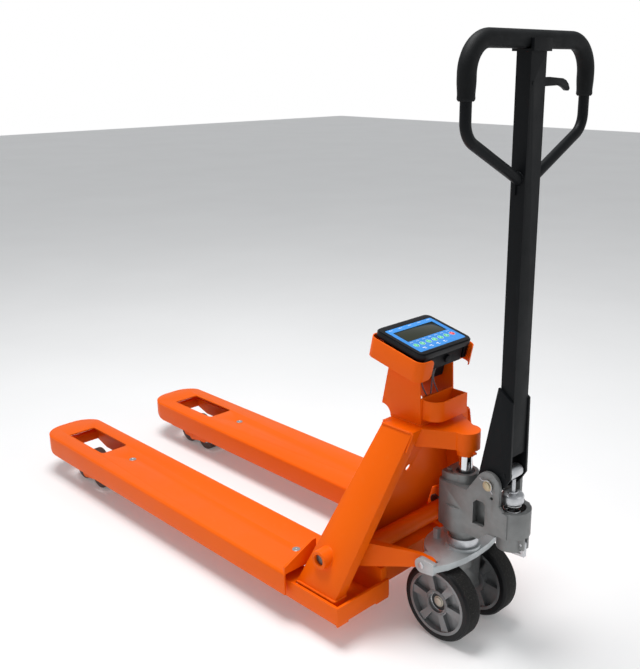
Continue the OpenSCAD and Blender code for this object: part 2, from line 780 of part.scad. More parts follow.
module wheel_hub(side)
    color(COL_STEEL) move_to_origin() on_side(side) difference() {
        union() {
            difference() {
                rod_y(steer_x, wheel_r, rim_r, -wheel_out + 0.5, -wheel_out + wheel_w);
                rod_y(steer_x, wheel_r, rim_r - 7, -wheel_out - 1, -wheel_out + 15);
                rod_y(steer_x, wheel_r, rim_r - 7, -wheel_out + wheel_w - 14, -wheel_out + wheel_w + 1);
            }
            rod_y(steer_x, wheel_r, 30, -wheel_out + 3, -wheel_out + wheel_w);
            for (k = [0:5]) translate([steer_x, 0, wheel_r]) rotate([0, 60 * k + 8, 0])
                slab_xz(-wheel_out + 4, -wheel_out + wheel_w - 4)
                    polygon([[26, -7], [rim_r - 5, -10], [rim_r - 5, 10], [26, 7]]);
        }
        rod_y(steer_x, wheel_r, 23, -wheel_out - 1, -78.4);
        rod_y(steer_x, wheel_r, axle_r + fit, -100, -30);
    }

module wheel_hub_left() wheel_hub(-1);
module wheel_hub_right() wheel_hub(1);

module tyre(side)
    color(COL_RUBBER) move_to_origin() on_side(side) difference() {
        union() {
            rod_y(steer_x, wheel_r, wheel_r, -wheel_out + 5, -wheel_out + wheel_w - 5);
            rod_y(steer_x, wheel_r, wheel_r - 3, -wheel_out, -wheel_out + wheel_w);
        }
        rod_y(steer_x, wheel_r, rim_r, -wheel_out - 1, -wheel_out + wheel_w + 1);
    }

module tyre_left() tyre(-1);
module tyre_right() tyre(1);

module release_lever() color(COL_STEEL) move_to_origin() {
    rod_y(1588, 263, 3, -9.5, 9.5);
    slab_xz(-4, 4) {
        translate([1588, 263]) circle(r = 6.5);
        polygon([[1583, 262], [1594.5, 262], [1594, 234], [1545, 231], [1545, 236], [1586, 239]]);
    }
}

module plunger() color(COL_STEEL) move_to_origin() {
    rod_z(plunger_x, 0, 5, cap_top - 1, plunger_top);
    rod_z(plunger_x, 0, 11, cap_top - 1, cap_top + 2.5);
    rod_z(plunger_x, 0, 6, 305, cap_top - 6);
    translate([plunger_x, 0, 0]) rotate_extrude()
        polygon([[0, cap_top - 7], [cap_r - 3, cap_top - 7], [cap_r - 3, cap_low], [cap_r, cap_low],
            [cap_r, cap_top - 7], [cap_r - 2, cap_top - 3.5], [cap_r - 6, cap_top - 1.5], [11, cap_top],
            [0, cap_top]]);
}

// Point j of the wire's outline at ring k of the coil.
function coil_point(k, j) =
    let (turn = 360 * coil_turns * k / coil_rings,
        side = 360 * j / coil_sides,
        r = coil_r + wire_r * cos(side))
    [r * cos(turn), r * sin(turn), coil_rise * k / coil_rings + wire_r * (1 + sin(side))];

module plunger_spring() color(COL_STEEL) move_to_origin()
    translate([plunger_x, 0, 289.4])
        polyhedron(
            points = [for (k = [0:coil_rings], j = [0:coil_sides - 1]) coil_point(k, j)],
            faces = concat(
                [[for (j = [0:coil_sides - 1]) j]],
                [for (k = [0:coil_rings - 1], j = [0:coil_sides - 1])
                    [k * coil_sides + j, (k + 1) * coil_sides + j,
                        (k + 1) * coil_sides + (j + 1) % coil_sides,
                        k * coil_sides + (j + 1) % coil_sides]],
                [[for (j = [coil_sides - 1:-1:0]) coil_rings * coil_sides + j]]));

// ---------- handle ----------

module bracket_profile() {
    polygon([[1530, 603], [1566, 576], [1568, 412], [1556, 392], [1540, 372], [hinge_x, 366.5],
        [1494, 374], [1487, 388]]);
    translate([hinge_x, hinge_z]) circle(r = 22);
}

module handle_bracket() color(COL_BLACK) move_to_origin()
    difference() {
        union() {
            for (s = [-1, 1]) on_side(s) slab_xz(-side_out, -tube_w / 2) bracket_profile();
            rod_y(hinge_x, hinge_z, 13, -26, 26);
            rod_y(roller_x, roller_z, 6, -33, 33);
            bar_x(1500, 1506, -26, 26, 415, 452);
        }
        rod_y(hinge_x, hinge_z, hinge_r + fit, -40, 40);
    }

module handle_tube() color(COL_BLACK) move_to_origin() {
    x0 = tube_x - tube_d / 2;
    x1 = tube_x + tube_d / 2;
    half = tube_w / 2;
    difference() {
        bar_x(x0, x1, -half, half, tube_z0, tube_z1);
        bar_x(x0 + 3, x1 - 3, -half + 3, half - 3, tube_z0 - 1, tube_z1 + 1);
        bar_x(tube_x - 4, tube_x + 4, half - 4, half + 1, 1178, 1213);
    }
    bar_x(x0 - 4, x1 + 4, -29, 29, tube_z1, tube_z1 + 3.9);
    for (x = [x0 - 8, x1 + 1.2])
        bar_x(x, x + 6.8, -29, 29, tube_z1, loop_z + 2);
    rod_x(lever_pin_y, lever_pin_z, 4, x0 - 1, x1 + 1);
}

module loop_upper(r, drop) {
    rod_y(tube_x, loop_z, r, -loop_half + 60, loop_half - 60);
    for (s = [-1, 1]) on_side(s) {
        translate([tube_x, -loop_half + 60, loop_z - 60]) rotate([90, 0, 90]) rotate([0, 0, 90])
            rotate_extrude(angle = 90) translate([60, 0]) circle(r = r);
        rod_z(tube_x, -loop_half, r, loop_z - 60 - drop, loop_z - 60);
    }
}

// Steering loop: one bent tube, swept along its centre line in Y and Z.
// Each station is [y, z, heading], and arcs are walked in even steps.
function arc_run(y, z, radius, from, to, steps) =
    [for (k = [0:steps]) let (a = from + (to - from) * k / steps)
        [y + radius * cos(a), z + radius * sin(a), a + 90]];

function loop_stations() =
    let (low_z = loop_z - 137.4, low_y = loop_half - 45, top_y = loop_half - 60,
        bend = 62.6, foot_y = 20.5,
        turn_y = low_y + 45 * cos(bend), turn_z = low_z - 45 * sin(bend),
        foot_z = turn_z - (turn_y - foot_y) / tan(bend))
    concat(
        [[foot_y, foot_z, 90 - bend]],
        arc_run(low_y, low_z, 45, -bend, 0, 10),
        arc_run(top_y, loop_z - 60, 60, 0, 90, 14),
        arc_run(-top_y, loop_z - 60, 60, 90, 180, 14),
        arc_run(-low_y, low_z, 45, 180, 180 + bend, 10),
        [[-foot_y, foot_z, 270 + bend]]);

module steering_loop() color(COL_BLACK) move_to_origin() {
    stations = loop_stations();
    n = len(stations);
    sides = 24;
    polyhedron(
        points = [for (p = stations, j = [0:sides - 1]) let (a = 360 * j / sides)
            [tube_x + loop_r * cos(a), p[0] - loop_r * sin(a) * sin(p[2]),
                p[1] + loop_r * sin(a) * cos(p[2])]],
        faces = concat(
            [[for (j = [0:sides - 1]) j]],
            [for (k = [0:n - 2], j = [0:sides - 1])
                [k * sides + j, (k + 1) * sides + j, (k + 1) * sides + (j + 1) % sides,
                    k * sides + (j + 1) % sides]],
            [[for (j = [sides - 1:-1:0]) (n - 1) * sides + j]]));
}

module loop_grip() color(COL_BLACK) move_to_origin()
    difference() {
        loop_upper(grip_r, 44);
        loop_upper(loop_r, 44);
        for (s = [-1, 1]) rod_z(tube_x, s * loop_half, loop_r, loop_z - 110, loop_z - 90);
    }

// Finger lever: up lowers the forks, middle is neutral, down is pumping.
module control_lever() color(COL_BLACK) move_to_origin()
    difference() {
        union() {
            slab_yz(tube_x - 3, tube_x + 3) {
                translate([lever_pin_y, lever_pin_z]) circle(r = 7.5);
                polygon([[lever_pin_y, 1185.5], [85, 1187.5], [97, 1187], [108, 1183], [118, 1177.5],
                    [127, 1177], [131, 1181], [126, 1190], [117, 1197], [106, 1200.5], [60, 1203.5],
                    [lever_pin_y, 1200.5]]);
            }
            rod_x(8, lever_pin_z, 2.5, 1537.5, tube_x - 2);
        }
        rod_x(lever_pin_y, lever_pin_z, 4 + fit, 1500, 1600);
    }

module pull_rod() color(COL_STEEL) move_to_origin()
    difference() {
        union() {
            rod_z(1540, 8, 2.5, 470, 1189);
            slab_yz(1538, 1542) translate([8, lever_pin_z]) circle(r = 6.5);
            slab_yz(1538, 1542) translate([8, 470]) circle(r = 6);
        }
        slab_yz(1530, 1550) {
            translate([7.85, lever_pin_z]) circle(r = 2.9);
            translate([8, 470]) circle(r = 2.5);
        }
    }

module pressure_roller() color(COL_STEEL) move_to_origin()
    difference() {
        rod_y(roller_x, roller_z, press_r, -20, 20);
        rod_y(roller_x, roller_z, 6 + fit, -30, 30);
    }

// ---------- lifting linkage ----------

module arm_plan(grow_out, grow_in)
    polygon([[1190, -186 - grow_out], [1238, -186 - grow_out], [1374, -116 - grow_out],
        [1389, -arm_out - grow_out], [1440, -arm_out - grow_out], [1440, -arm_in + grow_in],
        [1398, -arm_in + grow_in], [1240, -158 + grow_in], [1190, -158 + grow_in]]);

module arm_profile(inset) {
    far = arm_len / cos(arm_tilt);
    translate([pivot_x, pivot_z]) rotate(arm_tilt) {
        circle(r = 30 - inset);
        polygon([[0, -30 + inset], [60, -29 + inset], [far - 20, -17 + inset], [far, -14 + inset],
            [far + link_run, -14 + inset], [far + link_run, 14 - inset], [far, 14 - inset],
            [far - 22, 17 - inset], [60, 30 - inset], [0, 30 - inset]]);
        translate([far + link_run, 0]) circle(r = 14 - inset);
    }
}

module arm_pocket() {
    far = arm_len / cos(arm_tilt);
    translate([pivot_x, pivot_z]) rotate(arm_tilt)
        polygon([[36, -21], [60, -22], [far - 30, -11], [far - 30, 11], [60, 22], [36, 21]]);
}

module arm_eye() {
    far = arm_len / cos(arm_tilt);
    translate([pivot_x, pivot_z]) rotate(arm_tilt) {
        translate([far, 0]) circle(r = link_r + eye_play);
        translate([far, -link_r - eye_play]) square([link_run, 2 * (link_r + eye_play)]);
        translate([far + link_run, 0]) circle(r = link_r + eye_play);
    }
}

module rocker_arm() {
    difference() {
        intersection() {
            slab_xz(-200, 0) arm_profile(0);
            linear_extrude(400) arm_plan(0, 0);
        }
        intersection() {
            slab_xz(-200, 0) arm_pocket();
            linear_extrude(400) arm_plan(1, -20);
        }
        slab_xz(-200, 0) arm_eye();
        rod_y(pivot_x, pivot_z, pivot_r + fit, -200, -100);
    }
    slab_xz(-186, -172) polygon([[pivot_x - 12, pivot_z - 24], [pivot_x - 9, lever_z - 9],
        [pivot_x + 9, lever_z - 9], [pivot_x + 12, pivot_z - 24]]);
    rod_y(pivot_x, lever_z, 6, -203, -180);
}

module rocker() color(COL_ORANGE) move_to_origin() {
    for (s = [-1, 1]) on_side(s) rocker_arm();
    difference() {
        rod_y(1246, 163, 22, -158.5, 158.5);
        for (s = [-1, 1]) on_side(s) rod_y(pivot_x, pivot_z, pivot_r + fit, -200, -150);
    }
}

// Pushrod with a raised rear end, from the rocker's lever to the roller bracket.
module pushrod(side)
    color(COL_ORANGE) move_to_origin() on_side(side) translate([0, -fork_y, 0]) difference() {
        union() {
            slab_xz(-6, 6) {
                polygon([[1128, pushrod_z - 8], [1150, pushrod_z - 8], [1216, lever_z - 14],
                    [1231, lever_z - 14], [1231, lever_z + 10], [1210, lever_z + 8],
                    [1142, pushrod_z + 8], [1128, pushrod_z + 8]]);
                translate([pivot_x, lever_z]) circle(r = 13);
                translate([bracket_pin_x, bracket_pin_z - 1]) circle(r = 9);
                polygon([[bracket_pin_x, bracket_pin_z - 9], [360, pushrod_z - 6], [360, pushrod_z + 6],
                    [bracket_pin_x, bracket_pin_z + 5]]);
            }
            rod_x(0, pushrod_z, 8, 352, 1136);
        }
        slab_xz(-10, 10) {
            translate([pivot_x, lever_z]) circle(r = 6.6);
            translate([pivot_x - 6.6, lever_z]) square([13.2, 3]);
            translate([pivot_x, lever_z + 3]) circle(r = 6.6);
            translate([bracket_pin_x, bracket_pin_z]) circle(r = 5.6);
            translate([bracket_pin_x - 5.6, bracket_pin_z - 2.5]) square([11.2, 2.5]);
            translate([bracket_pin_x, bracket_pin_z - 2.5]) circle(r = 5.6);
        }
    }

module pushrod_left() pushrod(-1);
module pushrod_right() pushrod(1);

module bracket_side() {
    translate([bracket_x, bracket_z]) circle(r = 15);
    translate([bogie_x, bogie_z]) circle(r = 14);
    polygon([[bracket_x, bracket_z + 15], [bogie_x, bogie_z + 14], [bogie_x, bogie_z - 14],
        [bracket_x, bracket_z - 15]]);
}

module bracket_lever() {
    translate([bracket_x, bracket_z]) circle(r = 14);
    translate([bracket_pin_x, bracket_pin_z]) circle(r = 8);
    polygon([[bracket_x - 10, bracket_z], [bracket_pin_x - 8, bracket_pin_z],
        [bracket_pin_x + 8, bracket_pin_z], [bracket_x + 10, bracket_z]]);
}

module roller_bracket(side)
    color(COL_ORANGE) move_to_origin() on_side(side) translate([0, -fork_y, 0]) difference() {
        union() {
            for (s = [-1, 1]) on_side(s) {
                slab_xz(-54, -46) bracket_side();
                slab_xz(-16, -8) bracket_lever();
            }
            rod_y(bracket_x, bracket_z, 12, -50, 50);
            rod_y(bracket_pin_x, bracket_pin_z, 5, -14, 14);
            bar_x(286, 302, -47, 47, 54, 64);
        }
        rod_y(bracket_x, bracket_z, 7 + fit, -80, 80);
        rod_y(bogie_x, bogie_z, 5 + fit, -80, 80);
    }

module roller_bracket_left() roller_bracket(-1);
module roller_bracket_right() roller_bracket(1);

// Bogie: two side plates that carry the roller axles and rock on the middle axle.
module bogie(side)
    color(COL_ORANGE) move_to_origin() on_side(side) translate([0, -fork_y, 0]) {
        for (s = [-1, 1]) on_side(s) slab_xz(-43, -37) {
            for (x = [-1, 1]) translate([bogie_x + x * bogie_pitch / 2, bogie_z]) circle(r = 15);
            translate([bogie_x - bogie_pitch / 2, bogie_z - 15]) square([bogie_pitch, 30]);
        }
        rod_y(bogie_x, bogie_z, 5, -54, 54);
        for (x = [-1, 1]) rod_y(bogie_x + x * bogie_pitch / 2, bogie_z, axle_small_r, -44, 44);
    }

module bogie_left() bogie(-1);
module bogie_right() bogie(1);

module load_roller(side, end)
    color(COL_RUBBER) move_to_origin() on_side(side) translate([0, -fork_y, 0]) difference() {
        rod_y(bogie_x + end * bogie_pitch / 2, bogie_z, roller_r, -roller_w / 2, roller_w / 2);
        rod_y(bogie_x + end * bogie_pitch / 2, bogie_z, axle_small_r + fit, -60, 60);
    }

module load_roller_1() load_roller(-1, -1);
module load_roller_2() load_roller(-1, 1);
module load_roller_3() load_roller(1, -1);
module load_roller_4() load_roller(1, 1);

weigh_fork_left();
weigh_fork_right();
fork_screws();
load_cells();
inner_fork_left();
inner_fork_right();
side_beam_left();
side_beam_right();
head_bridge();
heel_plate();
ram();
rocker_pins();
bracket_pins();
display_stand();
shield_bracket();
indicator_body();
indicator_bezel();
keypad_panel();
lcd();
circuit_board();
battery();
signal_cables();
key_1();
key_2();
key_3();
key_4();
key_5();
key_6();
key_power();
base_plate();
base_pins();
pump_body();
thrust_ring();
hinge_pin();
wheel_axle();
release_lever();
wheel_hub_left();
wheel_hub_right();
tyre_left();
tyre_right();
plunger();
plunger_spring();
handle_bracket();
handle_tube();
steering_loop();
loop_grip();
control_lever();
pull_rod();
pressure_roller();
rocker();
pushrod_left();
pushrod_right();
roller_bracket_left();
roller_bracket_right();
bogie_left();
bogie_right();
load_roller_1();
load_roller_2();
load_roller_3();
load_roller_4();
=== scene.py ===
import json
import math

import bmesh
import bpy
from mathutils import Matrix, Vector

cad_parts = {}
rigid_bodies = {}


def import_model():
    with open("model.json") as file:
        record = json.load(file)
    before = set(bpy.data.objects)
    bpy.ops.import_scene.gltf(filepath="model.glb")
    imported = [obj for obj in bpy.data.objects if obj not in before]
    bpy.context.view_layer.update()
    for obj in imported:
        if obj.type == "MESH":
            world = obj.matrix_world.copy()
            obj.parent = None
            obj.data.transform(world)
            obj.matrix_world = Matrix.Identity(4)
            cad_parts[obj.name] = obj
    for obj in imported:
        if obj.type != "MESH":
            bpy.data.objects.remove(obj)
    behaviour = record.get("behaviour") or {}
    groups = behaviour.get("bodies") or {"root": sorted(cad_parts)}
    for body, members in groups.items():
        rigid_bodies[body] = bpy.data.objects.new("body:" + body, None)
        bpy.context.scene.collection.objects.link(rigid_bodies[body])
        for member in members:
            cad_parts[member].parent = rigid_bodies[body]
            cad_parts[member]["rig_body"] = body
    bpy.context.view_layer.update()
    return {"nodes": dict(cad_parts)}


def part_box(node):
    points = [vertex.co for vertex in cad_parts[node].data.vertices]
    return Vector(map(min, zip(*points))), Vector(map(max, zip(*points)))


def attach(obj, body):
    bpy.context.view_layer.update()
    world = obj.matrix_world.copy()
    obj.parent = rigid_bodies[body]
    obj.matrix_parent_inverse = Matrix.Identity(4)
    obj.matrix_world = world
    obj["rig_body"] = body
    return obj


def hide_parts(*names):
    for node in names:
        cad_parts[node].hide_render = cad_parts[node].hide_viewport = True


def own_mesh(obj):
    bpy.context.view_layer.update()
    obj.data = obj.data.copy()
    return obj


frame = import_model()
MM = 0.001


# ---------- Camera, floor and studio ----------
# A standing person's view over the rear quarter of the truck, on a pale floor
# that runs into a white surround, under one large soft lamp and two fills.

scene = bpy.context.scene
scene.view_settings.view_transform = "Standard"
IMAGE_H = 669

camera_data = bpy.data.cameras.new("camera")
camera_data.sensor_width = 36
camera_data.lens = 36 * 886.45 / IMAGE_H
camera_data.shift_x = -0.0608
camera_data.shift_y = -0.0195
camera_data.dof.use_dof = False
camera = bpy.data.objects.new("camera", camera_data)
camera.location = (1.69846, -1.41805, 1.22890)
camera.rotation_euler = (math.radians(90 - 16.264), math.radians(0.05), math.radians(44.27))
scene.collection.objects.link(camera)
scene.camera = camera

world = bpy.data.worlds.new("white_surround")
world.use_nodes = True
sky = world.node_tree
direction = sky.nodes.new("ShaderNodeTexCoord")
height = sky.nodes.new("ShaderNodeSeparateXYZ")
band = sky.nodes.new("ShaderNodeValToRGB")
band.color_ramp.elements[0].position = 0.09
band.color_ramp.elements[0].color = (1, 1, 1, 1)
band.color_ramp.elements[1].position = 0.13
band.color_ramp.elements[1].color = (0.40, 0.41, 0.42, 1)
sky.links.new(direction.outputs["Generated"], height.inputs[0])
sky.links.new(height.outputs["Z"], band.inputs["Fac"])
sky.links.new(band.outputs["Color"], sky.nodes["Background"].inputs["Color"])
sky.nodes["Background"].inputs["Strength"].default_value = 1.0
scene.world = world


def soft_lamp(name, place, target, size, power):
    lamp = bpy.data.lights.new(name, "AREA")
    lamp.shape = "DISK"
    lamp.size = size
    lamp.energy = power
    holder = bpy.data.objects.new(name, lamp)
    holder.location = place
    aim = Vector(target) - Vector(place)
    holder.rotation_euler = aim.to_track_quat("-Z", "Y").to_euler()
    scene.collection.objects.link(holder)


soft_lamp("key_lamp", (-0.1, -0.35, 3.5), (0.1, 0, 0.2), 1.6, 98)
soft_lamp("rear_fill", (2.8, 0.8, 1.8), (0.6, 0, 0.4), 1.6, 7)
soft_lamp("side_fill", (0.8, -3.2, 0.9), (0.4, 0, 0.3), 1.8, 2)


# ---------- Orange fork and chassis steel ----------
# Folded and welded sheet, powder coated in one glossy orange: the fork shells,
# the chassis under them, the beams, head and stand. Edges are rounded a little
# by the fold or the coat, and bolt-on covers keep a fine gap.

def material(name):
    """An empty node material, its tree and its principled shader."""
    made = bpy.data.materials.new(name)
    made.use_nodes = True
    tree = made.node_tree
    return made, tree, tree.nodes["Principled BSDF"]


def grain(tree, scale, detail=4, stretch=(1, 1, 1)):
    """Noise on Object coordinates, at a scale in cells per metre."""
    place = tree.nodes.new("ShaderNodeTexCoord")
    turn = tree.nodes.new("ShaderNodeMapping")
    turn.inputs["Scale"].default_value = stretch
    noise = tree.nodes.new("ShaderNodeTexNoise")
    noise.inputs["Scale"].default_value = scale
    noise.inputs["Detail"].default_value = detail
    tree.links.new(place.outputs["Object"], turn.inputs["Vector"])
    tree.links.new(turn.outputs["Vector"], noise.inputs["Vector"])
    return noise.outputs["Fac"]


def ramp(tree, source, stops):
    """A colour or value ramp: stops are (position, colour) or (position, number)."""
    node = tree.nodes.new("ShaderNodeValToRGB")
    elements = node.color_ramp.elements
    while len(elements) < len(stops):
        elements.new(0.5)
    for element, (position, tint) in zip(elements, stops):
        element.position = position
        rgb = tint if isinstance(tint, tuple) else (tint, tint, tint)
        element.color = (*rgb, 1)
    tree.links.new(source, node.inputs["Fac"])
    return node.outputs["Color"]


def bumps(tree, shader, source, strength, depth):
    node = tree.nodes.new("ShaderNodeBump")
    node.inputs["Strength"].default_value = strength
    node.inputs["Distance"].default_value = depth
    tree.links.new(source, node.inputs["Height"])
    tree.links.new(node.outputs["Normal"], shader.inputs["Normal"])


def mixed(tree, factor, first, second, blend="MIX"):
    """Two colours mixed; each may be a socket or a tuple, and factor a socket or number."""
    node = tree.nodes.new("ShaderNodeMix")
    node.data_type = "RGBA"
    node.blend_type = blend
    for socket, value in ((node.inputs[0], factor), (node.inputs[6], first), (node.inputs[7], second)):
        if isinstance(value, bpy.types.NodeSocket):
            tree.links.new(value, socket)
        elif isinstance(value, tuple):
            socket.default_value = (*value, 1)
        else:
            socket.default_value = value
    return node.outputs[2]


def orange_coat():
    made, tree, shader = material("orange_powder_coat")
    broad = grain(tree, 2.2, 3)
    colour = ramp(tree, broad, [(0.3, (0.84, 0.112, 0.0004)), (0.7, (0.90, 0.130, 0.0006))])
    dust = ramp(tree, grain(tree, 55, 8), [(0.60, 0.0), (0.85, 0.08)])
    dusty = mixed(tree, dust, colour, (0.70, 0.30, 0.12))
    tree.links.new(dusty, shader.inputs["Base Color"])
    rough = ramp(tree, grain(tree, 9, 5), [(0.35, 0.36), (0.7, 0.46)])
    tree.links.new(rough, shader.inputs["Roughness"])
    shader.inputs["Specular IOR Level"].default_value = 0.13
    bumps(tree, shader, grain(tree, 520, 2), 0.10, 0.0006)
    return made


def round_edges(mesh, width, segments=3, angle=38):
    """The mesh with a rounded edge of this width along every fold sharper than angle."""
    holder = bpy.data.objects.new("rounding", mesh)
    scene.collection.objects.link(holder)
    bevel = holder.modifiers.new("edge", "BEVEL")
    bevel.width = width
    bevel.segments = segments
    bevel.limit_method = "ANGLE"
    bevel.angle_limit = math.radians(angle)
    bevel.use_clamp_overlap = True
    bpy.context.view_layer.update()
    shaped = holder.evaluated_get(bpy.context.evaluated_depsgraph_get())
    finished = bpy.data.meshes.new_from_object(shaped)
    bpy.data.objects.remove(holder)
    finished.shade_smooth()
    finished.set_sharp_from_angle(angle=math.radians(32))
    return finished


def piece(name, mesh, body, coat, slot, *replaced):
    """Puts a finished mesh in the scene, on its body, with its material; slot is not used."""
    made = bpy.data.objects.new(name, mesh)
    scene.collection.objects.link(made)
    made.data.materials.clear()
    made.data.materials.append(coat)
    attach(made, body)
    if replaced:
        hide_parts(*replaced)
    return made


def body_of(node):
    return frame["nodes"][node]["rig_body"]


def clean_copy(node):
    """A CAD node's mesh as clean flat faces, ready to be rounded."""
    work = bmesh.new()
    work.from_mesh(frame["nodes"][node].data)
    bmesh.ops.remove_doubles(work, verts=work.verts, dist=2e-6)
    bmesh.ops.dissolve_limit(work, angle_limit=math.radians(0.6), verts=work.verts, edges=work.edges)
    mesh = bpy.data.meshes.new(node)
    work.to_mesh(mesh)
    work.free()
    return mesh


def rounded_node(node, width, coat, slot, segments=3):
    mesh = round_edges(clean_copy(node), width, segments)
    return piece(node + "_finished", mesh, body_of(node), coat, slot, node)


ORANGE = orange_coat()
FOLD_ROUND = {"weigh_fork": 1.2 * MM, "inner_fork": 1.5 * MM, "side_beam": 2.6 * MM}
for part, width in FOLD_ROUND.items():
    for side in ("left", "right"):
        rounded_node(f"{part}_{side}", width, ORANGE, "orange_paint")
rounded_node("head_bridge", 3.0 * MM, ORANGE, "orange_paint", 4)
rounded_node("heel_plate", 1.2 * MM, ORANGE, "orange_paint")


# Each beam's outer plate folds over at the top and closes it against the head.
for side in ("left", "right"):
    low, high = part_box(f"side_beam_{side}")
    inner = high.y if side == "left" else low.y
    out = -1 if side == "left" else 1
    crown = bmesh.new()
    middle = Vector((high.x - 43.5 * MM, inner + out * 15 * MM, high.z - 2.4 * MM))
    bmesh.ops.create_cube(crown, size=1, matrix=Matrix.Translation(middle)
        @ Matrix.Diagonal((82 * MM, 34 * MM, 6 * MM, 1)))
    mesh = bpy.data.meshes.new("beam_crown")
    crown.to_mesh(mesh)
    crown.free()
    piece(f"beam_crown_{side}", round_edges(mesh, 2.4 * MM), "frame", ORANGE, "orange_paint")


# ---------- Cover screws and load cells ----------
# A low countersunk socket screw at each end of each fork shell, zinc plated, and
# the machined beam cells between the shells and the chassis.

def zinc_finish(name="zinc_plate", tint=(0.62, 0.63, 0.65), roughness=0.34):
    made, tree, shader = material(name)
    shader.inputs["Metallic"].default_value = 0.95
    cloud = ramp(tree, grain(tree, 60, 5), [(0.3, tuple(0.86 * c for c in tint)), (0.7, tint)])
    spots = ramp(tree, grain(tree, 240, 6), [(0.62, 0.0), (0.80, 0.30)])
    tree.links.new(mixed(tree, spots, cloud, (0.30, 0.29, 0.27)), shader.inputs["Base Color"])
    wipe = grain(tree, 90, 5, (1, 1, 6))
    rough = ramp(tree, wipe, [(0.3, roughness - 0.08), (0.7, roughness + 0.10)])
    tree.links.new(rough, shader.inputs["Roughness"])
    bumps(tree, shader, wipe, 0.12, 0.0002)
    return made


ZINC = zinc_finish()
CELL_STEEL = zinc_finish("ground_steel", (0.70, 0.70, 0.69), 0.28)
rounded_node("fork_screws", 0.5 * MM, ZINC, "zinc_steel")
rounded_node("load_cells", 0.6 * MM, CELL_STEEL, "cell_steel", 2)


# ---------- Weld beads ----------
# Fillet welds left by hand: rows of overlapping ripples along the beam feet, the
# head, the stand and the tray, painted over in the same orange.

def tree_with(name, inputs):
    """A geometry tree with a Geometry input and output, and named inputs for its sizes."""
    tree = bpy.data.node_groups.new(name, "GeometryNodeTree")
    tree.interface.new_socket("Geometry", in_out="INPUT", socket_type="NodeSocketGeometry")
    for label, kind, default in inputs:
        socket = tree.interface.new_socket(label, in_out="INPUT", socket_type=kind)
        if default is not None:
            socket.default_value = default
    tree.interface.new_socket("Geometry", in_out="OUTPUT", socket_type="NodeSocketGeometry")
    return tree, tree.nodes.new("NodeGroupInput"), tree.nodes.new("NodeGroupOutput")


def chain(tree, *nodes):
    """Links each node's first geometry output to the next node's first geometry input."""
    for before, after in zip(nodes, nodes[1:]):
        out = next(s for s in before.outputs if s.type == "GEOMETRY")
        into = next(s for s in after.inputs if s.type == "GEOMETRY")
        tree.links.new(out, into)


def bead_tree():
    tree, start, end = tree_with("weld_bead", [
        ("Pitch", "NodeSocketFloat", 0.002),
        ("Radius", "NodeSocketFloat", 0.003),
        ("Coat", "NodeSocketMaterial", None)])
    add = tree.nodes.new
    to_curve = add("GeometryNodeMeshToCurve")
    spread = add("GeometryNodeResampleCurve")
    spread.mode = "LENGTH"
    ripple = add("GeometryNodeMeshIcoSphere")
    ripple.inputs["Subdivisions"].default_value = 2
    place = add("GeometryNodeInstanceOnPoints")
    sway = add("FunctionNodeRandomValue")
    sway.data_type = "FLOAT_VECTOR"
    sway.inputs[0].default_value = (0.85, 0.85, 0.85)
    sway.inputs[1].default_value = (1.12, 1.12, 1.12)
    sway.inputs["Seed"].default_value = 7
    solid = add("GeometryNodeRealizeInstances")
    paint = add("GeometryNodeSetMaterial")
    smooth = add("GeometryNodeSetShadeSmooth")
    chain(tree, start, to_curve, spread, place, solid, smooth, paint, end)
    tree.links.new(start.outputs["Pitch"], spread.inputs["Length"])
    tree.links.new(start.outputs["Radius"], ripple.inputs["Radius"])
    tree.links.new(ripple.outputs["Mesh"], place.inputs["Instance"])
    tree.links.new(sway.outputs[0], place.inputs["Scale"])
    tree.links.new(start.outputs["Coat"], paint.inputs["Material"])
    return tree


def grown(name, base, tree, values):
    """Runs a geometry tree on a base mesh and returns the plain mesh it makes."""
    holder = bpy.data.objects.new(name, base)
    scene.collection.objects.link(holder)
    modifier = holder.modifiers.new("grow", "NODES")
    modifier.node_group = tree
    for item in tree.interface.items_tree:
        if item.in_out == "INPUT" and item.name in values:
            modifier[item.identifier] = values[item.name]
    bpy.context.view_layer.update()
    shaped = holder.evaluated_get(bpy.context.evaluated_depsgraph_get())
    mesh = bpy.data.meshes.new_from_object(shaped)
    bpy.data.objects.remove(holder)
    return mesh


def lines_mesh(name, lines):
    """A mesh of open polylines, one edge between each two points."""
    points, edges = [], []
    for line in lines:
        first = len(points)
        points += line
        edges += [(first + k, first + k + 1) for k in range(len(line) - 1)]
    mesh = bpy.data.meshes.new(name)
    mesh.from_pydata(points, edges, [])
    return mesh


BEAD_TREE = bead_tree()


def weld(name, lines, radius, body="frame"):
    base = lines_mesh(name, lines)
    mesh = grown(name, base, BEAD_TREE, {"Pitch": radius * 0.62, "Radius": radius, "Coat": ORANGE})
    return piece(name, mesh, body, ORANGE, "orange_paint")


beam_low, beam_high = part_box("side_beam_left")
stand_low, stand_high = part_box("display_stand")
fork_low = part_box("weigh_fork_left")[0]
DECK = 101 * MM
BEAM_FOOT_REAR = beam_low.x + 123 * MM
beam_foot_y = -beam_low.y
head_top = beam_high.z
beam_top_x = (beam_high.x - 87 * MM, beam_high.x)
beam_top_y = -beam_high.y + 34 * MM
foot_lines, head_lines = [], []
for side in (-1, 1):
    y = side * (beam_foot_y + 0.5 * MM)
    foot_lines.append([(beam_low.x + 4 * MM, y, DECK), (BEAM_FOOT_REAR, y, DECK),
        (BEAM_FOOT_REAR + 1 * MM, side * (beam_foot_y - 33 * MM), DECK)])
    y = side * (beam_top_y + 0.4 * MM)
    head_lines.append([(beam_top_x[0] + 3 * MM, y, head_top), (beam_top_x[1] - 6 * MM, y, head_top)])
    head_lines.append([(beam_top_x[1], side * (beam_top_y - 3 * MM), head_top - 3 * MM),
        (beam_top_x[1] - 6 * MM, side * (beam_top_y + 11 * MM), head_top - 40 * MM)])
weld("foot_welds", foot_lines, 3.2 * MM)
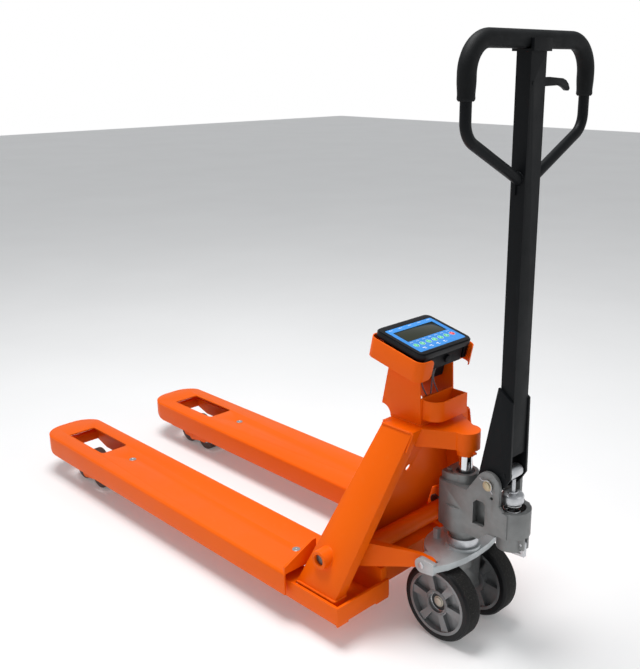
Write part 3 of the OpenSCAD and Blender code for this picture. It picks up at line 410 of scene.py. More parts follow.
weld("head_welds", head_lines, 2.6 * MM)
stand_floor = head_top + 1 * MM
stand_y = stand_high.y
stand_x = (stand_low.x + 30 * MM, 1350 * MM - 798.5 * MM)
stand_lines = [
    [(stand_x[0], s * (stand_y + 0.5 * MM), stand_floor), (stand_x[1], s * (stand_y + 0.5 * MM), stand_floor)]
    for s in (-1, 1)]
stand_rear = stand_x[1] + 1 * MM
stand_lines.append([(stand_rear, -stand_y, stand_floor), (stand_rear, stand_y, stand_floor)])
weld("stand_welds", stand_lines, 2.0 * MM)


# ---------- Stand, tray and shield ----------
# The stand is bent from one sheet, with a small document tray behind it; the
# shield wraps round the indicator and is open towards the operator.

rounded_node("display_stand", 0.8 * MM, ORANGE, "orange_paint")
rounded_node("shield_bracket", 1.0 * MM, ORANGE, "orange_paint")
tray_low, tray_high = 489 * MM, 534 * MM
weld("tray_welds", [[(stand_x[1] + 2 * MM, y, tray_low), (stand_x[1] + 2 * MM, y, tray_high - 4 * MM)]
    for y in (-51 * MM, 51 * MM)], 1.5 * MM)


# ---------- Linkage pins ----------
# Pins in the bosses of the side beams, where the rocker turns, painted dark for the shade
# in their recessed bores, and zinc plated ones where the roller brackets turn in the forks.

TIP = fork_low.x


def at(x, y, z):
    """A point given in millimetres from the fork tips, the centre line and the floor."""
    return Vector((TIP + x * MM, y * MM, z * MM))


def swept(name, line, radius, sides=20, closed=False):
    """A round tube along a line of points; radius is one number or one for each point."""
    count = len(line)
    radii = radius if isinstance(radius, list) else [radius] * count
    work = bmesh.new()
    rings = []
    across = None
    for k, centre in enumerate(line):
        ahead = line[(k + 1) % count] if closed or k < count - 1 else line[k]
        behind = line[k - 1] if closed or k else line[k]
        along = (ahead - behind).normalized()
        if across is None:
            across = along.orthogonal().normalized()
        across = (across - along * across.dot(along)).normalized()
        up = along.cross(across)
        rings.append([work.verts.new(centre + radii[k] * (
            across * math.cos(2 * math.pi * j / sides) + up * math.sin(2 * math.pi * j / sides)))
            for j in range(sides)])
    pairs = list(zip(rings, rings[1:])) + ([(rings[-1], rings[0])] if closed else [])
    for ring, following in pairs:
        for j in range(sides):
            work.faces.new((ring[j], ring[(j + 1) % sides], following[(j + 1) % sides], following[j]))
    if not closed:
        work.faces.new(rings[0][::-1])
        work.faces.new(rings[-1])
    bmesh.ops.recalc_face_normals(work, faces=work.faces)
    return smooth_mesh(name, work)


def smooth_mesh(name, work, angle=38):
    mesh = bpy.data.meshes.new(name)
    work.to_mesh(mesh)
    work.free()
    mesh.shade_smooth()
    mesh.set_sharp_from_angle(angle=math.radians(angle))
    return mesh


def turned(name, profile, centre, steps=72, axis="Y"):
    """A closed profile of (radius, offset) points turned about an axis through centre."""
    work = bmesh.new()
    rings = []
    for k in range(steps):
        a = 2 * math.pi * k / steps
        c, s = math.cos(a), math.sin(a)
        rings.append([work.verts.new(centre + (Vector((r * c, h, r * s)) if axis == "Y"
            else Vector((r * c, r * s, h)))) for r, h in profile])
    n = len(profile)
    for k in range(steps):
        for j in range(n):
            a, b = rings[k], rings[(k + 1) % steps]
            work.faces.new((a[j], a[(j + 1) % n], b[(j + 1) % n], b[j]))
    bmesh.ops.remove_doubles(work, verts=work.verts, dist=1e-7)
    bmesh.ops.recalc_face_normals(work, faces=work.faces)
    return smooth_mesh(name, work)


# The rocker pins' dark tint is painted shade, standing in for the shade in the recessed bores of the bosses.
rounded_node("rocker_pins", 1.0 * MM, zinc_finish("painted_bore_shade_pin", (0.16, 0.155, 0.15), 0.42), "zinc_steel")
rounded_node("bracket_pins", 1.0 * MM, ZINC, "zinc_steel")

# ---------- Indicator ----------
# A black moulded case with a glossy rounded bezel, a printed blue membrane, a dark
# display window and seven keys. The case drops into the stand as a battery box.

def black_plastic(name, roughness, gloss):
    made, tree, shader = material(name)
    cloud = ramp(tree, grain(tree, 14, 4), [(0.3, (0.004, 0.004, 0.005)), (0.7, (0.008, 0.008, 0.010))])
    lint = ramp(tree, grain(tree, 300, 4), [(0.66, 0.0), (0.85, 0.12)])
    tree.links.new(mixed(tree, lint, cloud, (0.04, 0.04, 0.04)), shader.inputs["Base Color"])
    tree.links.new(ramp(tree, grain(tree, 25, 5), [(0.3, roughness), (0.7, roughness + 0.10)]),
        shader.inputs["Roughness"])
    shader.inputs["Specular IOR Level"].default_value = 0.10 + gloss
    bumps(tree, shader, grain(tree, 900, 2), 0.10, 0.0003)
    return made


def along_x(tree, low, high):
    """0 to 1 along the truck, between two places in metres, in Object coordinates."""
    place = tree.nodes.new("ShaderNodeTexCoord")
    split = tree.nodes.new("ShaderNodeSeparateXYZ")
    span = tree.nodes.new("ShaderNodeMapRange")
    span.inputs["From Min"].default_value = low
    span.inputs["From Max"].default_value = high
    tree.links.new(place.outputs["Object"], split.inputs[0])
    tree.links.new(split.outputs["X"], span.inputs["Value"])
    return span.outputs["Result"]


def membrane_print_and_painted_light():
    made, tree, shader = material("membrane_print_and_painted_light")
    low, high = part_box("keypad_panel")
    # Painted light: the blue is painted lighter at the upper end of the tilted panel (low x) and a little at
    # its foot, darker across the middle, a painted highlight over the printed colour.
    painted_light_fade = ramp(tree, along_x(tree, low.x, high.x), [(0.0, (0.050, 0.27, 0.70)), (0.45, (0.035, 0.22, 0.62)),
        (1.0, (0.045, 0.25, 0.66))])
    speck = ramp(tree, grain(tree, 160, 5), [(0.4, 0.0), (0.9, 0.15)])
    tree.links.new(mixed(tree, speck, painted_light_fade, (0.25, 0.5, 0.85)), shader.inputs["Base Color"])
    tree.links.new(ramp(tree, grain(tree, 60, 4), [(0.3, 0.30), (0.7, 0.42)]), shader.inputs["Roughness"])
    shader.inputs["Specular IOR Level"].default_value = 0.15
    bumps(tree, shader, grain(tree, 1400, 2), 0.08, 0.0002)
    return made


def display_glass():
    made, tree, shader = material("display_glass")
    low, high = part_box("lcd")
    shade = ramp(tree, along_x(tree, low.x, high.x),
        [(0.0, (0.018, 0.022, 0.014)), (1.0, (0.028, 0.032, 0.020))])
    haze = ramp(tree, grain(tree, 18, 3), [(0.3, 0.0), (0.9, 0.4)])
    tree.links.new(mixed(tree, haze, shade, (0.040, 0.044, 0.032)), shader.inputs["Base Color"])
    tree.links.new(ramp(tree, grain(tree, 30, 3), [(0.3, 0.10), (0.7, 0.16)]), shader.inputs["Roughness"])
    shader.inputs["Specular IOR Level"].default_value = 0.25
    return made


def key_silicone(name, tint):
    made, tree, shader = material(name)
    pale = tuple(min(1, 1.5 * c + 0.04) for c in tint)
    tree.links.new(ramp(tree, grain(tree, 120, 4), [(0.3, tint), (0.75, pale)]), shader.inputs["Base Color"])
    tree.links.new(ramp(tree, grain(tree, 200, 4), [(0.3, 0.42), (0.7, 0.55)]), shader.inputs["Roughness"])
    bumps(tree, shader, grain(tree, 1500, 2), 0.08, 0.0002)
    return made


def white_ink():
    made, tree, shader = material("white_ink")
    tree.links.new(ramp(tree, grain(tree, 400, 3), [(0.2, (0.74, 0.78, 0.82)), (0.8, (0.86, 0.89, 0.92))]),
        shader.inputs["Base Color"])
    shader.inputs["Roughness"].default_value = 0.5
    return made


BEZEL = black_plastic("bezel_gloss_black", 0.34, 0.10)
CASE = black_plastic("case_satin_black", 0.46, 0.0)
INK = white_ink()
rounded_node("indicator_bezel", 2.2 * MM, BEZEL, "housing_black", 4)
rounded_node("indicator_body", 1.2 * MM, CASE, "housing_black")
rounded_node("keypad_panel", 0.15 * MM, membrane_print_and_painted_light(), "panel_blue", 2)
rounded_node("lcd", 0.3 * MM, display_glass(), "lcd_glass", 2)

FACE = Matrix.Translation(at(1247, 0, 677)) @ Matrix.Rotation(math.radians(12.7), 4, "Y")
KEY_ROW, KEY_PITCH, KEY_R = 92, 20, 6


def flat_bars(name, bars, z0, z1):
    """Thin printed bars on the face: each is (x, y, length, width, turn in degrees)."""
    work = bmesh.new()
    for x, y, length, width, turn in bars:
        place = Matrix.Translation((x * MM, y * MM, (z0 + z1) / 2 * MM)) @ Matrix.Rotation(
            math.radians(turn), 4, "Z")
        size = Matrix.Diagonal((width * MM, length * MM, (z1 - z0) * MM, 1))
        bmesh.ops.create_cube(work, size=1, matrix=FACE @ place @ size)
    return smooth_mesh(name, work)


def face_ring(name, x, y, radius, thick, height):
    line = [FACE @ Vector(((x + radius * math.cos(a)) * MM, (y + radius * math.sin(a)) * MM, height * MM))
        for a in [2 * math.pi * k / 36 for k in range(36)]]
    return swept(name, line, thick * MM, 8, True)


# Plain ticks and bars stand in for the printed legends round the keys.
legends = []
for k in range(7):
    y = (k - 3) * KEY_PITCH
    legends += [(78.5, y - 3, 4.5, 1.0, 0), (78.5, y + 2.5, 3, 1.0, 0)]
for k in range(4):
    y = -52 + k * 22
    legends += [(107, y, 9 - k, 2.2, 0), (111, y + 2, 5 + k, 1.2, 0)]
for k in range(5):
    legends.append((18, -62 + 31 * k, 11, 0.9, 0))
piece("panel_legends", flat_bars("legends", legends, -0.21, -0.08), "frame", INK, "panel_blue")

GREEN = key_silicone("key_green", (0.055, 0.44, 0.20))
RED = key_silicone("key_red", (0.62, 0.035, 0.06))
KEY_MARKS = [[(0, 0, 5, 1, 0)], [(0, 0, 5, 1, 0), (0, 0, 5, 1, 90)], [(0, -1.3, 4, 1, 0), (0, 1.8, 1, 3, 0)],
    [(-1.2, 0, 4, 1, 0), (1.2, 0, 4, 1, 0)], [(0, 0, 5, 1, 45)], [(0, 0, 5, 1, 45), (0, 0, 5, 1, -45)],
    [(-0.8, 0, 1, 3.6, 0)]]
for k, marks in enumerate(KEY_MARKS):
    node = "key_power" if k == 6 else f"key_{k + 1}"
    slot = "key_red" if k == 6 else "key_green"
    rounded_node(node, 0.7 * MM, RED if k == 6 else GREEN, slot)
    bars = [(KEY_ROW + x, (k - 3) * KEY_PITCH + y, l, w, t) for x, y, l, w, t in marks]
    piece(node + "_symbol", flat_bars(node + "_symbol", bars, 0.15, 0.27), node, INK, slot)
    ring = face_ring(node + "_ring", KEY_ROW, (k - 3) * KEY_PITCH, KEY_R + 0.9, 0.28, -0.15)
    piece(node + "_ring", ring, "frame", INK, "panel_blue")


def coat_node(node, coat):
    """Gives a CAD node that stays as it is a finished material."""
    mesh = frame["nodes"][node].data
    mesh.materials.clear()
    mesh.materials.append(coat)


coat_node("circuit_board", key_silicone("board_mask", (0.01, 0.12, 0.04)))
coat_node("battery", CASE)


# ---------- Signal cables ----------
# Three thin leads rise from the head to the indicator inside the open stand, with a
# little slack, and show as pale curls behind the tray.

def cable_sheath():
    made, tree, shader = material("cable_sheath")
    tree.links.new(ramp(tree, grain(tree, 200, 4), [(0.3, (0.10, 0.11, 0.12)), (0.7, (0.20, 0.21, 0.22))]),
        shader.inputs["Base Color"])
    shader.inputs["Roughness"].default_value = 0.45
    bumps(tree, shader, grain(tree, 700, 2), 0.1, 0.0002)
    return made


leads = bmesh.new()
for index, y in enumerate((-26, -6, 12)):
    bow = (9, -7, 8)[index]
    line = [at(1336 + 4 * math.sin(2.2 * math.pi * t), y + bow * math.sin(2 * math.pi * t), 478.5 + 124 * t)
        for t in [k / 30 for k in range(31)]]
    leads.from_mesh(swept("lead", line, 1.5 * MM, 10))
piece("signal_leads", smooth_mesh("signal_leads", leads), "frame", cable_sheath(), "cable_black",
    "signal_cables")


# ---------- Ram, pump and base plate ----------
# Sand-cast aluminium, tumbled so its edges shine: the pump with its collar, ears and
# spring cup, and the base plate under it. The ram is hard chromed.

def cast_finish(name, tint, roughness):
    made, tree, shader = material(name)
    shader.inputs["Metallic"].default_value = 0.65
    shade = tuple(0.80 * c for c in tint)
    cloud = ramp(tree, grain(tree, 20, 6), [(0.3, shade), (0.7, tint)])
    pits = ramp(tree, grain(tree, 420, 5), [(0.60, 0.0), (0.82, 0.45)])
    tree.links.new(mixed(tree, pits, cloud, tuple(0.55 * c for c in tint)), shader.inputs["Base Color"])
    tree.links.new(ramp(tree, grain(tree, 70, 5), [(0.3, roughness - 0.08), (0.7, roughness + 0.10)]),
        shader.inputs["Roughness"])
    bumps(tree, shader, grain(tree, 650, 6), 0.30, 0.0006)
    return made


def chrome_finish():
    made, tree, shader = material("hard_chrome")
    shader.inputs["Metallic"].default_value = 1
    tree.links.new(ramp(tree, grain(tree, 30, 3), [(0.3, (0.70, 0.71, 0.73)), (0.7, (0.82, 0.83, 0.85))]),
        shader.inputs["Base Color"])
    wipe = grain(tree, 200, 3, (1, 1, 0.05))
    tree.links.new(ramp(tree, wipe, [(0.3, 0.08), (0.7, 0.18)]), shader.inputs["Roughness"])
    bumps(tree, shader, wipe, 0.05, 0.0001)
    return made


CAST = cast_finish("sand_cast_aluminium", (0.24, 0.245, 0.243), 0.46)
PALE_CAST = cast_finish("base_casting", (0.56, 0.59, 0.60), 0.52)
rounded_node("pump_body", 1.8 * MM, CAST, "cast_aluminium", 4)
rounded_node("base_plate", 1.6 * MM, PALE_CAST, "cast_aluminium", 4)
rounded_node("ram", 0.8 * MM, chrome_finish(), "chrome_ram")
rounded_node("thrust_ring", 0.8 * MM, ZINC, "zinc_steel")
rounded_node("base_pins", 1.0 * MM, ZINC, "zinc_steel")
rounded_node("release_lever", 0.8 * MM, ZINC, "zinc_steel")
rounded_node("wheel_axle", 0.8 * MM, zinc_finish("axle_end", (0.50, 0.47, 0.40), 0.36), "zinc_steel")


def seal_rubber(name="seal_rubber"):
    made, tree, shader = material(name)
    shade = ramp(tree, grain(tree, 40, 5), [(0.3, (0.012, 0.012, 0.013)), (0.7, (0.028, 0.028, 0.03))])
    tree.links.new(shade, shader.inputs["Base Color"])
    tree.links.new(ramp(tree, grain(tree, 120, 4), [(0.3, 0.45), (0.7, 0.62)]), shader.inputs["Roughness"])
    bumps(tree, shader, grain(tree, 800, 3), 0.15, 0.0003)
    return made


SEAL = seal_rubber()
ram_centre = at(1431.6, 0, 0)
lip = [(15.15, 376.6), (20.8, 376.6), (20.8, 378.0), (18.5, 378.4), (17.2, 379.2), (15.4, 379.0)]
wiper = turned("ram_wiper", [(r * MM, z * MM) for r, z in lip], ram_centre, 64, "Z")
piece("ram_wiper", wiper, "pump", SEAL, "tyre_rubber")

# The hinge pin's brass-tinted end, held by a bent wire clip on each side.
PIN_TINT = zinc_finish("yellow_zinc", (0.50, 0.43, 0.29), 0.36)
rounded_node("hinge_pin", 0.9 * MM, PIN_TINT, "zinc_steel")
for side, y in (("left", -1), ("right", 1)):
    hinge = at(1522, y * 46.4, 388.5)
    loop = [hinge + Vector((12.4 * MM * math.cos(a), 0, 12.4 * MM * math.sin(a)))
        for a in [math.radians(-35 + 10 * k) for k in range(26)]]
    tails = [hinge + Vector((-18 * MM, 0, 14 * MM)), hinge + Vector((-13 * MM, 0, 9.5 * MM))]
    cross = [hinge + Vector((15 * MM, 0, -13 * MM))]
    clip = swept("clip", cross + loop[:17] + tails[::-1], 1.0 * MM, 8)
    piece(f"hinge_clip_{side}", clip, "pump", ZINC, "zinc_steel")


# ---------- Plunger and spring ----------
# The handle's roller pushes a rod with a domed zinc cap; a bright coil in the cast
# cup lifts it again.

rounded_node("plunger", 1.0 * MM, ZINC, "zinc_steel", 4)


def coil_tree():
    tree, start, end = tree_with("coil_spring", [
        ("Turns", "NodeSocketFloat", 5.5),
        ("Coil Radius", "NodeSocketFloat", 0.0177),
        ("Wire Radius", "NodeSocketFloat", 0.0018),
        ("Rise", "NodeSocketFloat", 0.071),
        ("Place", "NodeSocketVector", (0, 0, 0)),
        ("Coat", "NodeSocketMaterial", None)])
    add = tree.nodes.new
    helix = add("GeometryNodeCurveSpiral")
    helix.inputs["Resolution"].default_value = 40
    wire = add("GeometryNodeCurvePrimitiveCircle")
    wire.inputs["Resolution"].default_value = 14
    skin = add("GeometryNodeCurveToMesh")
    skin.inputs["Fill Caps"].default_value = True
    move = add("GeometryNodeTransform")
    smooth = add("GeometryNodeSetShadeSmooth")
    paint = add("GeometryNodeSetMaterial")
    link = tree.links.new
    link(start.outputs["Turns"], helix.inputs["Rotations"])
    link(start.outputs["Coil Radius"], helix.inputs["Start Radius"])
    link(start.outputs["Coil Radius"], helix.inputs["End Radius"])
    link(start.outputs["Rise"], helix.inputs["Height"])
    link(start.outputs["Wire Radius"], wire.inputs["Radius"])
    link(helix.outputs["Curve"], skin.inputs["Curve"])
    link(wire.outputs["Curve"], skin.inputs["Profile Curve"])
    link(start.outputs["Place"], move.inputs["Translation"])
    chain(tree, skin, move, smooth, paint, end)
    link(start.outputs["Coat"], paint.inputs["Material"])
    return tree


spring_low, spring_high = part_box("plunger_spring")
spring_foot = Vector((at(1556, 0, 0).x, 0, spring_low.z))
BRIGHT = zinc_finish("bright_spring_wire", (0.80, 0.80, 0.80), 0.22)
coil_foot = tuple(spring_foot + Vector((0, 0, 1.9 * MM)))
coil_values = {"Place": coil_foot, "Rise": spring_high.z - spring_low.z - 3.8 * MM, "Coat": BRIGHT}
coil = grown("spring_coil", bpy.data.meshes.new("empty"), coil_tree(), coil_values)
spring = piece("return_spring", coil, "pump", BRIGHT, "zinc_steel", "plunger_spring")
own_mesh(spring)


# ---------- Steering wheels ----------
# Die-cast aluminium hubs with six spokes and a pressed bearing behind a circlip, in
# solid rubber tyres with smooth walls, a line round the shoulder and a rough tread.

HUB = cast_finish("die_cast_hub", (0.25, 0.255, 0.26), 0.38)


def tyre_wall():
    made, tree, shader = material("tyre_rubber")
    place = tree.nodes.new("ShaderNodeTexCoord")
    split = tree.nodes.new("ShaderNodeSeparateXYZ")
    tree.links.new(place.outputs["Object"], split.inputs[0])
    size = tree.nodes.new("ShaderNodeMath")
    size.operation = "ABSOLUTE"
    tree.links.new(split.outputs["Y"], size.inputs[0])
    centre = tree.nodes.new("ShaderNodeMath")
    centre.operation = "SUBTRACT"
    centre.inputs[1].default_value = 67.5 * MM
    tree.links.new(size.outputs[0], centre.inputs[0])
    width = tree.nodes.new("ShaderNodeMath")
    width.operation = "ABSOLUTE"
    tree.links.new(centre.outputs[0], width.inputs[0])
    tread = ramp(tree, width.outputs[0], [(0.0165, 1.0), (0.0175, 0.0)])
    dust = grain(tree, 380, 6)
    grey = ramp(tree, dust,
        [(0.3, (0.006, 0.006, 0.006)), (0.62, (0.016, 0.015, 0.014)), (0.75, (0.075, 0.072, 0.066))])
    wall = ramp(tree, grain(tree, 22, 4), [(0.3, (0.003, 0.003, 0.0035)), (0.7, (0.006, 0.006, 0.007))])
    tree.links.new(mixed(tree, tread, wall, grey), shader.inputs["Base Color"])
    tree.links.new(ramp(tree, tread, [(0.0, 0.36), (1.0, 0.80)]), shader.inputs["Roughness"])
    shader.inputs["Specular IOR Level"].default_value = 0.25
    rough = mixed(tree, tread, ramp(tree, grain(tree, 600, 2), [(0, 0.45), (1, 0.55)]), ramp(tree, dust,
        [(0.3, 0.0), (0.7, 1.0)]))
    bumps(tree, shader, rough, 0.5, 0.0008)
    return made


TYRE = tyre_wall()
axle_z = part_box("tyre_left")[1].z / 2
wheel_profile = [(74, -23.6), (76, -24), (83, -24), (85.6, -23.2), (86.4, -21.6), (87.2, -21.6),
    (87.8, -20.6), (89.2, -19), (90, -16.5), (90, 16.5), (89.2, 19), (87.8, 20.6), (87.2, 21.6),
    (86.4, 21.6), (85.6, 23.2), (83, 24), (76, 24), (74, 23.6)]


def teeth_tree():
    tree, start, end = tree_with("serrated_ring", [
        ("Count", "NodeSocketInt", 54),
        ("Radius", "NodeSocketFloat", 0.0265),
        ("Coat", "NodeSocketMaterial", None)])
    add = tree.nodes.new
    circle = add("GeometryNodeMeshCircle")
    tooth = add("GeometryNodeMeshCube")
    tooth.inputs["Size"].default_value = (0.0030, 0.0011, 0.0012)
    place = add("GeometryNodeInstanceOnPoints")
    where = add("GeometryNodeInputPosition")
    turn = add("FunctionNodeAlignRotationToVector")
    turn.axis = "X"
    solid = add("GeometryNodeRealizeInstances")
    paint = add("GeometryNodeSetMaterial")
    link = tree.links.new
    link(start.outputs["Count"], circle.inputs["Vertices"])
    link(start.outputs["Radius"], circle.inputs["Radius"])
    link(where.outputs[0], turn.inputs["Vector"])
    link(turn.outputs[0], place.inputs["Rotation"])
    link(tooth.outputs["Mesh"], place.inputs["Instance"])
    chain(tree, circle, place, solid, paint, end)
    link(start.outputs["Coat"], paint.inputs["Material"])
    return tree


TEETH = teeth_tree()
for side, y in (("left", -1), ("right", 1)):
    body = f"wheel_{side}"
    rounded_node(f"wheel_hub_{side}", 1.6 * MM, HUB, "hub_aluminium", 4)
    centre = at(1431.6, y * 67.5, axle_z / MM)
    tyre = turned("tyre", [(r * MM, h * MM) for r, h in wheel_profile], centre, 120)
    piece(f"tyre_{side}_finished", tyre, body, TYRE, "tyre_rubber", f"tyre_{side}")
    seat = at(1431.6, y * 78.5, axle_z / MM)
    race = [(20, 0), (22.8, 0), (22.8, 2.4), (20.6, 2.4), (20, 1.8)]
    shield = [(13.4, 0), (20.2, 0), (20.2, 1.5), (17, 1.1), (13.4, 1.4)]
    for label, outline, coat in (("race", race, BRIGHT), ("dust_seal", shield, SEAL)):
        mesh = turned(label, [(r * MM, y * h * MM) for r, h in outline], seat, 64)
        piece(f"bearing_{label}_{side}", mesh, body, coat, "zinc_steel")
    teeth = grown("hub_serration", bpy.data.meshes.new("empty"), TEETH, {"Coat": HUB})
    ring_seat = Matrix.Translation(at(1431.6, y * 88.6, axle_z / MM))
    teeth.transform(ring_seat @ Matrix.Rotation(math.radians(90), 4, "X"))
    piece(f"hub_serration_{side}", teeth, body, HUB, "hub_aluminium")


# ---------- Handle ----------
# A black powder-coated box tube on two bracket plates, a bent steel loop with a soft
# one-piece grip, and the finger lever that works the valve through a rod in the tube.

def black_coat():
    made, tree, shader = material("black_powder_coat")
    cloud = ramp(tree, grain(tree, 5, 4), [(0.3, (0.005, 0.0057, 0.0066)), (0.7, (0.008, 0.0092, 0.0105))])
    scuffs = ramp(tree, grain(tree, 60, 8, (1, 1, 0.12)), [(0.63, 0.0), (0.80, 0.35)])
    scuffed = mixed(tree, scuffs, cloud, (0.020, 0.022, 0.024))
    tree.links.new(scuffed, shader.inputs["Base Color"])
    shader.inputs["Specular IOR Level"].default_value = 0.10
    tree.links.new(ramp(tree, grain(tree, 24, 4), [(0.3, 0.36), (0.7, 0.50)]), shader.inputs["Roughness"])
    bumps(tree, shader, grain(tree, 900, 3), 0.22, 0.0005)
    return made


def soft_grip():
    made, tree, shader = material("soft_grip")
    cloud = ramp(tree, grain(tree, 12, 5), [(0.3, (0.005, 0.0055, 0.006)), (0.7, (0.009, 0.010, 0.011))])
    polish = ramp(tree, grain(tree, 70, 6), [(0.58, 0.0), (0.80, 0.5)])
    tree.links.new(mixed(tree, polish, cloud, (0.014, 0.015, 0.016)), shader.inputs["Base Color"])
    tree.links.new(ramp(tree, grain(tree, 30, 4), [(0.3, 0.48), (0.7, 0.66)]), shader.inputs["Roughness"])
    shader.inputs["Specular IOR Level"].default_value = 0.14
    leather = tree.nodes.new("ShaderNodeTexVoronoi")
    leather.inputs["Scale"].default_value = 620
    place = tree.nodes.new("ShaderNodeTexCoord")
    tree.links.new(place.outputs["Object"], leather.inputs["Vector"])
    bumps(tree, shader, leather.outputs["Distance"], 0.30, 0.0006)
    return made


BLACK = black_coat()
GRIP = soft_grip()
rounded_node("handle_tube", 2.4 * MM, BLACK, "black_paint", 4)
rounded_node("handle_bracket", 1.2 * MM, BLACK, "black_paint")
rounded_node("control_lever", 1.4 * MM, BLACK, "black_paint", 4)
rounded_node("pull_rod", 0.5 * MM, ZINC, "zinc_steel", 2)
rounded_node("pressure_roller", 1.2 * MM, ZINC, "zinc_steel", 4)

TUBE_X, LOOP_HALF, LOOP_Z = 1548, 190, 1270
LOW_BEND, TOP_BEND, BEND = 45, 60, 62.6


def arc(y, z, radius, start, end, steps):
    return [at(TUBE_X, y + radius * math.cos(a), z + radius * math.sin(a))
        for a in [math.radians(start + (end - start) * k / steps) for k in range(steps + 1)]]


low_y, low_z = LOOP_HALF - LOW_BEND, LOOP_Z - 137.4
top_y, top_z = LOOP_HALF - TOP_BEND, LOOP_Z - TOP_BEND
turn_y = low_y + LOW_BEND * math.cos(math.radians(BEND))
turn_z = low_z - LOW_BEND * math.sin(math.radians(BEND))
foot_z = turn_z - (turn_y - 23) / math.tan(math.radians(BEND))
right_bends = arc(low_y, low_z, LOW_BEND, -BEND, 0, 24) + arc(top_y, top_z, TOP_BEND, 0, 90, 36)
left_bends = arc(-top_y, top_z, TOP_BEND, 90, 180, 36) + arc(-low_y, low_z, LOW_BEND, 180, 180 + BEND, 24)
loop_line = [at(TUBE_X, 23, foot_z)] + right_bends + left_bends + [at(TUBE_X, -23, foot_z)]
piece("steering_loop_tube", swept("loop", loop_line, 10.5 * MM, 32), "handle", BLACK, "black_paint",
    "steering_loop")

# The grip: drawn over the loop, a little fuller where a hand closes on it, with a
# rolled lip at each end.
grip_foot = LOOP_Z - 104
straight = [at(TUBE_X, LOOP_HALF, grip_foot + (top_z - grip_foot) * k / 16) for k in range(16)]
mirrored = [Vector((p.x, -p.y, p.z)) for p in straight[::-1]]
bar = [at(TUBE_X, top_y * (1 - 2 * k / 24), LOOP_Z) for k in range(1, 24)]
near_bend = arc(top_y, top_z, TOP_BEND, 0, 90, 36)
far_bend = arc(-top_y, top_z, TOP_BEND, 90, 180, 36)
grip_line = straight + near_bend + bar + far_bend + mirrored
GRIP_END = [13.4, 15.6, 16.0, 15.7, 15.6, 15.7, 15.9, 16.1, 16.3, 16.5, 16.7, 16.8]
grip_radii = [16.9] * len(grip_line)
for k, r in enumerate(GRIP_END):
    grip_radii[k] = grip_radii[-1 - k] = r
grip_mesh = swept("grip", grip_line, [r * MM for r in grip_radii], 40)
piece("grip_sleeve", grip_mesh, "handle", GRIP, "grip_rubber", "loop_grip")

# A flattened lug at the near foot of the loop, and its weld.
lug = bmesh.new()
bmesh.ops.create_cube(lug, size=1, matrix=Matrix.Translation(at(1541, -27.4, 1012))
    @ Matrix.Diagonal((9 * MM, 5 * MM, 44 * MM, 1)))
piece("loop_lug", round_edges(smooth_mesh("lug", lug), 1.6 * MM), "handle", BLACK, "black_paint")


def black_bead(name, lines, radius):
    values = {"Pitch": radius * 0.62, "Radius": radius, "Coat": BLACK}
    mesh = grown(name, lines_mesh(name, lines), BEAD_TREE, values)
    piece(name, mesh, "handle", BLACK, "black_paint")


foot_rings = []
for s in (-1, 1):
    foot_rings.append([at(TUBE_X + 11.2 * math.cos(a), s * 25.3, foot_z + 1.5 + 13 * math.sin(a))
        for a in [2 * math.pi * k / 24 for k in range(25)]])
black_bead("loop_foot_welds", foot_rings, 1.7 * MM)
seam = [[at(x, s * 25.6, z) for z in (470, 500, 540, 590)] for s in (-1, 1) for x in (1534,)]
black_bead("bracket_welds", seam, 1.5 * MM)
crown = [[at(x, s * 29, 1252.5) for x in (1530, 1540, 1556, 1566)] for s in (-1, 1)]
black_bead("saddle_welds", crown, 1.3 * MM)


# ---------- Lifting linkage ----------
# The forged rocker with its cross tube, the pushrods under the forks and the roller
# brackets at their ends, all in the same orange coat.

rounded_node("rocker", 2.4 * MM, ORANGE, "orange_paint", 4)
for side in ("left", "right"):
    rounded_node(f"pushrod_{side}", 1.5 * MM, ORANGE, "orange_paint")
    rounded_node(f"roller_bracket_{side}", 1.2 * MM, ORANGE, "orange_paint")
    rounded_node(f"bogie_{side}", 1.0 * MM, ORANGE, "orange_paint")


# ---------- Load rollers ----------
# Four short nylon rollers with a chamfered tread, a recessed bearing at each end and
# grey floor dust worked into the surface.

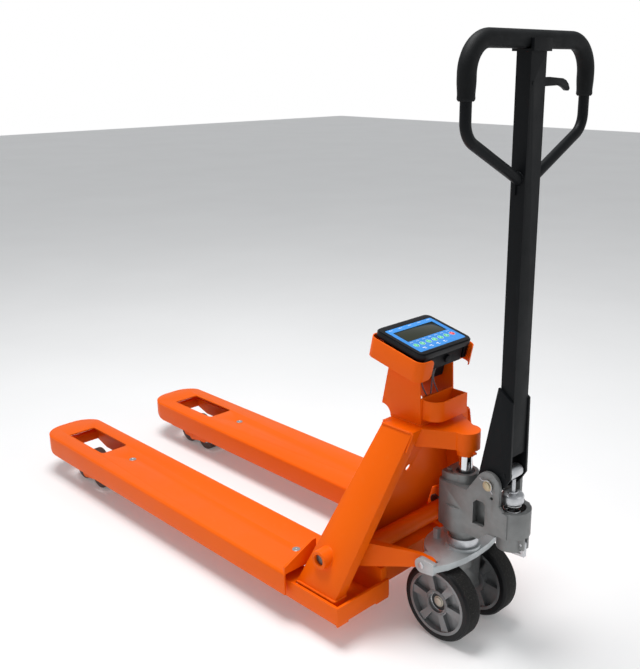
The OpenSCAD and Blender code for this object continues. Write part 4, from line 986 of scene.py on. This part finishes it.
def roller_nylon():
    made, tree, shader = material("roller_nylon")
    cloud = ramp(tree, grain(tree, 35, 6), [(0.3, (0.030, 0.020, 0.017)), (0.7, (0.075, 0.045, 0.035))])
    dust = ramp(tree, grain(tree, 160, 8), [(0.55, 0.0), (0.80, 0.6)])
    tree.links.new(mixed(tree, dust, cloud, (0.14, 0.11, 0.09)), shader.inputs["Base Color"])
    tree.links.new(ramp(tree, grain(tree, 90, 4), [(0.3, 0.40), (0.7, 0.62)]), shader.inputs["Roughness"])
    bumps(tree, shader, grain(tree, 500, 5), 0.3, 0.0005)
    return made


NYLON = roller_nylon()
roller_profile = [(7.1, -35), (13, -35), (13, -32), (19, -32), (19, -34.6), (22, -35), (37, -35),
    (39.2, -33.6), (40, -31.5), (40, 31.5), (39.2, 33.6), (37, 35), (22, 35), (19, 34.6), (19, 32),
    (13, 32), (13, 35), (7.1, 35)]
for k in range(1, 5):
    node = f"load_roller_{k}"
    low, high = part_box(node)
    centre = (low + high) / 2
    mesh = turned(node, [(r * MM, h * MM) for r, h in roller_profile], centre, 96)
    piece(f"{node}_finished", mesh, node, NYLON, "roller_rubber", node)
    ends = bmesh.new()
    for s in (-1, 1):
        seal = turned("seal", [(r * MM, s * h * MM) for r, h in ((13.3, 32.1), (18.8, 32.1), (18.8, 33.2),
            (13.3, 33.4))], centre, 48)
        ends.from_mesh(seal)
    piece(f"{node}_bearings", smooth_mesh(node + "_bearings", ends), node, BRIGHT, "roller_rubber")


# ---------- Floor ----------
# A plain pale studio floor.

def pale_floor():
    made, tree, shader = material("pale_floor")
    tree.links.new(ramp(tree, grain(tree, 1.5, 3), [(0.3, (0.80, 0.80, 0.80)), (0.7, (0.83, 0.83, 0.83))]),
        shader.inputs["Base Color"])
    shader.inputs["Roughness"].default_value = 0.6
    shader.inputs["Emission Color"].default_value = (1, 1, 1, 1)
    shader.inputs["Emission Strength"].default_value = 0.14
    return made


ground = bpy.data.meshes.new("floor")
reach = 14
ground.from_pydata([(-reach, -reach, 0), (reach, -reach, 0), (reach, reach, 0), (-reach, reach, 0)], [],
    [(0, 1, 2, 3)])
floor = bpy.data.objects.new("floor", ground)
scene.collection.objects.link(floor)
ground.materials.append(pale_floor())
